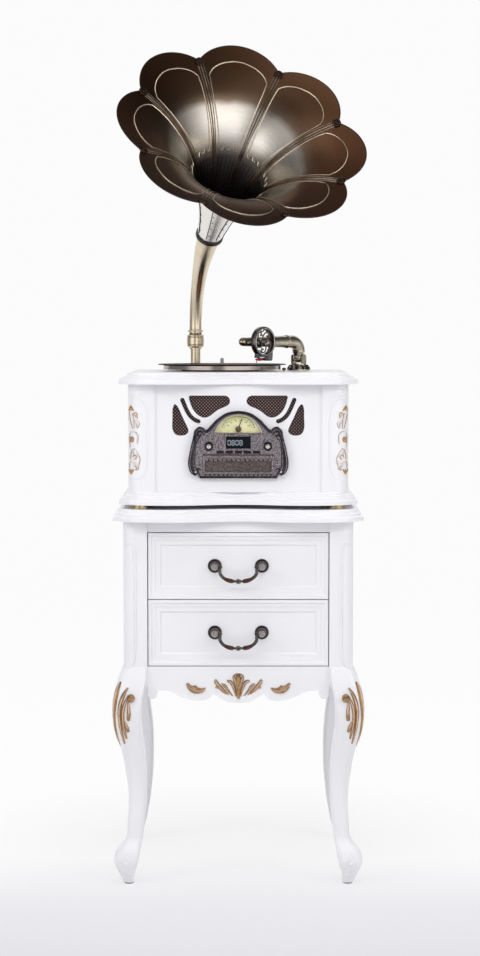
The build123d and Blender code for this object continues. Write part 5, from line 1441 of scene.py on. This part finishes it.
ring_bronze = worn_metal(
    "ring_bronze", (0.085, 0.07, 0.075), (0.02, 0.017, 0.02), (0.28, 0.45), 1200, patina=260
)
worn_pewter = worn_metal(
    "worn_pewter", (0.34, 0.30, 0.31), (0.06, 0.05, 0.055), (0.26, 0.44), 1400, patina=520
)
light_pewter = worn_metal(
    "light_pewter", (0.66, 0.60, 0.58), (0.20, 0.17, 0.17), (0.26, 0.44), 1400, patina=620
)
bail_green = worn_metal(
    "bail_green", (0.19, 0.175, 0.15), (0.035, 0.032, 0.03), (0.2, 0.36), 1200, patina=200
)
bail_copper = worn_metal(
    "bail_copper", (0.17, 0.088, 0.070), (0.055, 0.030, 0.027), (0.24, 0.4), 1200, patina=240
)


def bail_at(x):
    """The bail's centre line below its pivot."""
    return (x, 0, -BAIL_DROP * (1 - min(1, abs(x) / BAIL_HALF) ** BAIL_POWER) ** (1 / BAIL_POWER))


def arm_points(sign):
    """The outer arm of a bail from its eye down to the barrel."""
    top = BAIL_HALF - 1.2
    made = [(sign * top, 0, -1.5 - 1.3 * n) for n in range(3)]
    for n in range(1, 13):
        x = top * (1 - (n / 12) ** 2 * 0.5)
        made.append((sign * x, 0, min(bail_at(x)[2], made[2][2])))
    return made


def handle_pieces():
    """The pieces of one handle with its pivot at the origin: rosettes, posts and the bail."""
    backplate = turned("rosette", [
        (0, 3.4), (5.4, 3.4), (8.8, 4.0), (9.7, 3.3), (10.4, 3.6), (12.0, 3.2), (13.0, 1.9), (13.2, 0.4),
        (13.2, 0), (0, 0),
    ], 48)
    middle = turned(
        "rosette_middle", [(4.0, 3.2), (5.2, 4.4), (7.4, 4.7), (9.2, 4.2), (9.4, 3.2), (4.0, 3.2)], 48
    )
    ribs = [bead("rib", [(5.2, 0, 4.5), (7.2, 0.5, 5.0), (9.0, 0, 4.2)], 0.55)]
    ribs += [copy(ribs[0], turn(15 * n)) for n in range(1, 24)]
    post = turned("post", [
        (0, 3.2), (4.6, 3.2), (4.9, 4.2), (4.2, 5.4), (4.2, 14.5), (5.0, 16.0), (6.2, 18.6), (6.2, 25.4),
        (5.6, 26.6), (4.6, 27.0), (4.3, 27.5), (3.0, 28.5), (0, 28.7),
    ], 40)
    slot = cut_plate("slot", [(-3.6, -0.45), (3.6, -0.45), (3.6, 0.45), (-3.6, 0.45)], 3)
    place(slot, shift(0, 0, 27.6))
    modify(post, "BOOLEAN", operation="DIFFERENCE", object=slot, solver="EXACT")
    hole = turned("hole", [(0, -8), (1.9, -8), (1.9, 2.2), (0, 2.2)], 24)
    place(hole, shift(0, 0, 23.5) @ turn(90, "Y"))
    modify(post, "BOOLEAN", operation="DIFFERENCE", object=hole, solver="EXACT")
    for piece in (slot, hole):
        drop(piece)
    for piece in (backplate, middle, post):
        smooth(piece, 30)
    fixed = [
        (backplate, ring_bronze),
        (joined("rosette_ribs", [middle] + ribs), worn_pewter),
        (post, light_pewter),
    ]

    arms = [
        bead("bail_arm", arm_points(sign), 3.2, taper=[0.75, 0.85, 1.0] + [1.0] * 12, resolution=3)
        for sign in (-1, 1)
    ]
    eye = turned("eye", [
        (0, -3.8), (1.6, -3.6), (3.2, -2.2), (3.9, 0), (3.2, 2.2), (2.4, 2.9), (1.75, 3.2), (1.75, 11.2),
        (0, 11.2),
    ], 32)
    smooth(eye, 40)
    arms += [copy(eye, shift(34.2) @ turn(90, "Y")), copy(eye, shift(-34.2) @ turn(-90, "Y"))]
    drop(eye)
    collar = turned("collar", [(2.2, -1.0), (3.0, -0.6), (3.2, 0), (3.0, 0.6), (2.2, 1.0), (2.2, -1.0)], 24)
    smooth(collar, 60)
    arms += [copy(collar, shift(sign * (BAIL_HALF - 1.4), 0, -6.2)) for sign in (-1, 1)]
    drop(collar)
    stations = [7.0 + 19.5 * n / 12 for n in range(13)]
    shape = [0.42, 0.66, 0.88, 0.98, 1.0, 1.0, 1.0, 0.98, 0.94, 0.89, 0.84, 0.79, 0.74]
    barrels = [
        bead("barrel", [bail_at(sign * x) for x in stations], 4.3, taper=shape, resolution=3)
        for sign in (-1, 1)
    ]
    lozenge = turned("lozenge", [
        (0, -7.6), (1.9, -7.4), (2.0, -6.2), (2.9, -5.4), (3.0, -4.8), (4.9, -1.2), (5.2, 0), (4.9, 1.2),
        (3.0, 4.8), (2.9, 5.4), (2.0, 6.2), (1.9, 7.4), (0, 7.6),
    ], 4)
    with editing(lozenge, "EDGE"):
        bpy.ops.mesh.select_all(action="SELECT")
        bpy.ops.mesh.bevel(offset=0.35 * MM, segments=2, affect="EDGES")
        tidy_mesh()
    smooth(lozenge, 30)
    place(lozenge, shift(*bail_at(0)) @ turn(90, "Y"))
    outline = bead(
        "lozenge_line",
        [(-4.6, -4.6, -27), (0, -4.9, -22.6), (4.6, -4.6, -27), (0, -4.9, -31.4)],
        0.4,
        closed=True,
    )
    swinging = [
        (joined("bail_arms", arms), bail_green),
        (joined("bail_barrels", barrels), bail_copper),
        (lozenge, bail_green),
        (outline, light_pewter),
    ]
    return fixed, swinging


def handles():
    """The four handles: two sets of fixed pieces and one bail on each drawer."""
    fixed, swinging = handle_pieces()
    for drawer, height in (("upper", 608.2), ("lower", 481.3)):
        for sign, side in ((-1, "left"), (1, "right")):
            seat = front(PANEL_Y, height, ROSETTE_X * sign)
            if sign < 0:
                seat = seat @ turn(180)
            for piece, finish in fixed:
                made = copy(piece, seat, f"{drawer}_{side}_{piece.name}")
                dress(made, finish, f"{drawer}_drawer", "dark_bronze", f"{drawer}_handle_posts")
        for piece, finish in swinging:
            made = copy(piece, shift(0, PIVOT_Y, height), f"{drawer}_{piece.name}")
            dress(made, finish, f"{drawer}_bail", "dark_bronze", f"{drawer}_handle_bail")
    for piece, _ in fixed + swinging:
        drop(piece)


# ---------------------------------------------------------------- tone arm
ARM_X, ARM_Y, ARM_HEIGHT = 120, 60, 1030.8

lens_red = moulded_plastic("lens_red", (0.62, 0.02, 0.05), 0.22, 3000, 0.000005)
tab_white = moulded_plastic("tab_white", (0.80, 0.79, 0.78), 0.4, 3000, 0.000005, 0.95)
shell_grey = moulded_plastic("shell_grey", (0.17, 0.165, 0.165), 0.36, 1600, 0.00002)


def disc_place():
    """The sound box's face: X along the arm towards its pillar, Y up, Z out of the face."""
    return shift(47.88, -41.82, ARM_HEIGHT) @ turn(45) @ turn(90, "X")


def sound_box():
    """A heavy rim with a bright inner ring and pierced scrollwork round a hub."""
    seat = disc_place()
    rim = turned("rim", [
        (25.0, -6.5), (25.4, -6.5), (28.0, -6.1), (29.3, -4.6), (29.6, -2.0), (29.6, 2.0), (29.3, 4.6),
        (28.2, 6.1), (26.4, 6.5), (25.3, 6.2), (25.0, 5.0), (25.0, -6.5),
    ], 64)
    smooth(rim, 40)
    dress(place(rim, seat), box_metal, "tonearm", "sound_box_metal", "sound_box")
    ring_line = [(25.7 * cos(radians(a)), 25.7 * sin(radians(a)), 6.3) for a in range(0, 360, 6)]
    inner = bead("bright_ring", ring_line, 0.7, closed=True)
    dress(place(inner, seat), screw_steel, "tonearm", "sound_box_metal")
    long_curl = [
        (4, 0, 0), (9, 3.6, 0.8), (14.5, 2.6, 1.2), (19.6, -2.2, 1.0), (19.8, -8.0, 0.6),
        (15.4, -10.2, 0.8), (12.4, -7.4, 1.2), (14.4, -4.6, 1.4),
    ]
    short_curl = [(24.6, 4.4, 0), (20.4, 6.2, 0.6), (17.0, 10.4, 1.0), (18.6, 14.4, 0.8), (22.4, 13.8, 0.2)]
    sprig = [(9.5, 4.2, 0.4), (12.0, 8.4, 0.8), (11.0, 12.0, 0.6)]
    narrowing = [1 - 0.06 * n for n in range(11)]
    scroll = [
        bead("scroll", through(points, 5), radius, taper=taper, resolution=1)
        for points, radius, taper in (
            (long_curl, 1.5, None), (short_curl, 1.3, None), (sprig, 1.1, narrowing)
        )
    ]
    knot = joined("scroll_knot", scroll)
    knots = [knot] + [copy(knot, turn(72 * n)) for n in range(1, 5)]
    dress(place(joined("scrollwork", knots), seat), box_metal, "tonearm", "sound_box_metal")
    hub = turned(
        "hub",
        [
            (0, -9.0), (5.5, -9.0), (5.5, -1.0), (6.2, 0.6), (5.6, 2.2), (3.8, 3.2), (3.2, 4.6), (1.6, 5.4),
            (0, 5.5),
        ],
        40,
    )
    smooth(hub, 40)
    dress(place(hub, seat), box_metal, "tonearm", "sound_box_metal")


def cartridge():
    """A grey shell with a round corner, a darker block, a white tab, a red lens and the stylus."""
    seat = disc_place()
    reach = 29.5

    def under_disc(x0, x1, count):
        """Points along the sound box's rim between two places along the arm."""
        steps = [x0 + (x1 - x0) * n / (count - 1) for n in range(count)]
        return [(x, -sqrt(reach**2 - x * x)) for x in steps]

    shell = [(9.5, -37.0)] + [
        (17.5 + 4.0 * sin(radians(a)), -33.0 - 4.0 * cos(radians(a))) for a in range(0, 91, 15)
    ]
    shell += [(22.5, -24.0)] + under_disc(22.2, 9.5, 8)
    shell = place(bevelled_plate("cartridge_shell", shell, 11, 0.8), seat @ shift(0, 0, -5.5))
    dress(shell, shell_grey, "tonearm", "cartridge_plastic", "cartridge")
    dark = [(9.3, -36.6), (9.3, -28.1)] + under_disc(9.0, -18.5, 12) + [
        (-19.0, -31.5), (1.5, -32.0), (2.5, -36.6)
    ]
    dark = place(bevelled_plate("cartridge_body", dark, 9.4, 0.6), seat @ shift(0, 0, -4.7))
    dress(dark, cartridge_grey, "tonearm", "cartridge_plastic", "cartridge")
    tab = bevelled_plate(
        "cartridge_tab",
        [(-12.5, -31.8), (-1.5, -31.8), (-0.5, -29.8), (-3.5, -29.0), (-13.5, -29.4)],
        10.6,
        0.4,
        2,
    )
    dress(place(tab, seat @ shift(0, 0, -5.3)), tab_white, "tonearm", "cartridge_plastic")
    lens = turned(
        "stylus_guard",
        [
            (0, -12), (0.9, -11.4), (1.9, -8.0), (2.6, -3.0), (2.7, 0), (2.6, 3.0), (1.9, 8.0), (0.9, 11.4),
            (0, 12),
        ],
        32,
    )
    smooth(lens, 60)
    guard = place(lens, seat @ shift(-9.5, -34.4) @ turn(90, "Y"))
    dress(guard, lens_red, "tonearm", "cartridge_plastic", "cartridge")
    needle = turned("needle", [(0, 0), (1.1, 0), (1.0, -2.0), (0.25, -5.6), (0, -5.8)], 16)
    smooth(needle, 30)
    tip = seat @ shift(-17.8, -36.3) @ turn(-90, "X")
    dress(place(needle, tip), screw_steel, "tonearm", "cartridge_plastic")


def arm_place():
    """The tone arm's frame: X along the arm from its pillar, Z up."""
    return shift(ARM_X, ARM_Y) @ turn(225)


def arm_trim():
    """A stepped collar where the thin sleeve meets the bend, and leaves round the base."""
    collar = turned(
        "arm_collar",
        [
            (11.2, 0), (12.8, 0.2), (13.3, 1.2), (13.3, 2.4), (12.9, 3.4), (12.6, 5.0), (11.2, 5.2),
            (11.2, 0),
        ],
        48,
    )
    smooth(collar, 40)
    seat = arm_place() @ shift(34, 0, ARM_HEIGHT) @ turn(90, "Y")
    dress(place(collar, seat), arm_nickel, "tonearm", "arm_nickel")
    curl = through(
        [
            (22.4, -1.5, 975.0), (21.4, 0.5, 978.6), (18.8, 1.8, 981.6), (16.6, 0.6, 983.4),
            (17.6, -1.2, 984.0), (19.2, -0.8, 982.6),
        ],
        4,
    )
    leaf = bead("leaf", curl, 1.5, taper=swell(len(curl), 0.5, 0.5, 0.4))
    rib = bead("rib", through([(22.8, 1.4, 974.6), (20.6, 3.0, 977.8), (18.0, 3.4, 980.4)], 4), 1.1)
    leaves = joined("base_leaves", [leaf, rib])
    made = [leaves] + [copy(leaves, turn(36 * n)) for n in range(1, 10)]
    dress(place(joined("arm_base_leaves", made), shift(ARM_X, ARM_Y)), gunmetal, "cabinet", "arm_nickel")


handles()
sound_box()
cartridge()
arm_trim()


# ---------------------------------------------------------------- floor, light and camera
def backdrop():
    """A floor that curves up into a wall: it glows pale, greyer in front as painted shade, and keeps some
    shadow.
    """
    bpy.ops.mesh.primitive_plane_add(size=1, location=(0, -0.5, 0))
    sweep = bpy.context.object
    sweep.name = "backdrop"
    bpy.ops.object.transform_apply(location=True, rotation=True, scale=True)
    with editing(sweep, "EDGE"):
        bpy.ops.mesh.select_all(action="SELECT")
        bpy.ops.transform.resize(value=(14, 9, 1))
        select(sweep, "edges", lambda c: c.y > 3.9)
        for step in range(8):
            slope = radians(11.25 * (step + 0.5))
            push(0, 0.4 * cos(slope), 0.4 * sin(slope))
        push(0, 0, 6)
    smooth(sweep, 60)
    material, tree, shader = new_material("backdrop_paper")
    shader.inputs["Base Color"].default_value = (0.86, 0.86, 0.87, 1)
    shader.inputs["Roughness"].default_value = 0.9
    point = position_in(tree)
    # painted shade: the floor's glow greys towards the camera
    nearer = maths(tree, "MULTIPLY", node(tree, "SeparateXYZ", {"Vector": point}).outputs["Y"], -1.0)
    painted_floor_shade_stops = [
        (0.0, grey(1.0)), (0.12, (0.94, 0.935, 0.955)), (0.36, (0.83, 0.825, 0.865)),
        (0.68, (0.77, 0.765, 0.80)),
    ]
    painted_floor_shade = ramp(tree, nearer, painted_floor_shade_stops)
    around = node(tree, "VectorMath", {0: point}, operation="LENGTH").outputs["Value"]
    shown = ramp(tree, around, [(0.30, grey(0.74)), (0.75, grey(0.93))])
    path = node(tree, "LightPath").outputs
    mirrored = maths(tree, "MAXIMUM", path["Is Glossy Ray"], path["Is Transmission Ray"])
    seen = maths(tree, "MAXIMUM", path["Is Camera Ray"], mirrored)
    glow = node(tree, "Emission", {"Color": painted_floor_shade, "Strength": 1.0}).outputs["Emission"]
    share = maths(tree, "MULTIPLY", seen, shown)
    mixed = node(tree, "MixShader", {0: share, 1: shader.outputs["BSDF"], 2: glow})
    feed(tree, tree.nodes["Material Output"].inputs["Surface"], mixed.outputs["Shader"])
    sweep.data.materials.append(material)


def room_light():
    """An even pale room, but mirrored as a dim one with a bright strip on each side of the front."""
    world = bpy.data.worlds.new("studio")
    bpy.context.scene.world = world
    world.use_nodes = True
    tree = world.node_tree
    path = node(tree, "LightPath").outputs
    way = node(tree, "SeparateXYZ", {"Vector": node(tree, "TexCoord").outputs["Generated"]}).outputs
    # strength by height, from straight down at 0 to straight up at 1
    heights = [
        (0.0, 0.05), (0.28, 0.12), (0.37, 0.95), (0.50, 1.15), (0.58, 1.05), (0.64, 0.5), (0.75, 0.30),
        (0.90, 0.36), (0.97, 1.2), (1.0, 1.5),
    ]
    rising = maths(tree, "MULTIPLY_ADD", way["Z"], 0.5)
    level_band = ramp(tree, rising, [(share, grey(strength)) for share, strength in heights])
    # strength by degrees to the right of the front
    azimuth = maths(tree, "ARCTAN2", way["X"], maths(tree, "MULTIPLY", way["Y"], -1.0))
    strips = [
        (-180, 0.30), (-75, 0.30), (-60, 1.30), (-24, 1.40), (-17, 0.40), (1, 0.40),
        (9, 1.40), (55, 1.45), (75, 0.60), (110, 0.30), (180, 0.30),
    ]
    stops = [(0.5 + right / 360, grey(strength)) for right, strength in strips]
    sweep = ramp(tree, maths(tree, "MULTIPLY_ADD", azimuth, 1 / tau), stops)
    mirrored = maths(tree, "MULTIPLY", level_band, sweep)
    plain = maths(tree, "MAXIMUM", path["Is Camera Ray"], path["Is Transmission Ray"])
    even = maths(tree, "ADD", maths(tree, "MULTIPLY", plain, 0.45), 0.55)
    choice = {"Factor": path["Is Glossy Ray"], "A": even, "B": mirrored}
    strength = node(tree, "Mix", choice).outputs["Result"]
    tree.nodes["Background"].inputs["Color"].default_value = (1.0, 1.0, 1.0, 1)
    feed(tree, tree.nodes["Background"].inputs["Strength"], strength)


def softbox(name, stand, aim, width, height, watts):
    """A rectangular lamp at a stand, aimed at a point, that no mirror shows."""
    bpy.ops.object.light_add(type="AREA", location=stand)
    lamp = bpy.context.object
    lamp.name = name
    lamp.data.shape = "RECTANGLE"
    lamp.data.size, lamp.data.size_y = width, height
    lamp.data.energy = watts
    lamp.visible_glossy = False
    lamp.rotation_euler = (Vector(aim) - Vector(stand)).to_track_quat("-Z", "Y").to_euler()


def camera():
    """A long lens in front of the piece, tipped slightly down."""
    bpy.ops.object.camera_add(location=(0.0032, -4.132, 1.0439), rotation=(radians(90 - 3.894), 0, 0))
    eye = bpy.context.object
    eye.data.lens = 79.12
    eye.data.sensor_width = 36
    bpy.context.scene.camera = eye


backdrop()
room_light()
softbox("softbox_left", (-2.6, -1.9, 2.3), (0, 0, 0.9), 1.2, 2.0, 28)
softbox("softbox_right", (2.6, -2.1, 2.2), (0, 0, 0.9), 1.2, 2.0, 22)
softbox("softbox_top", (0.2, -0.6, 3.4), (0, 0, 0.6), 1.8, 1.8, 24)
softbox("softbox_front", (0.0, -1.3, 1.55), (0, 0, 0.95), 0.9, 0.4, 4)
camera()
bpy.context.scene.view_settings.view_transform = "Standard"
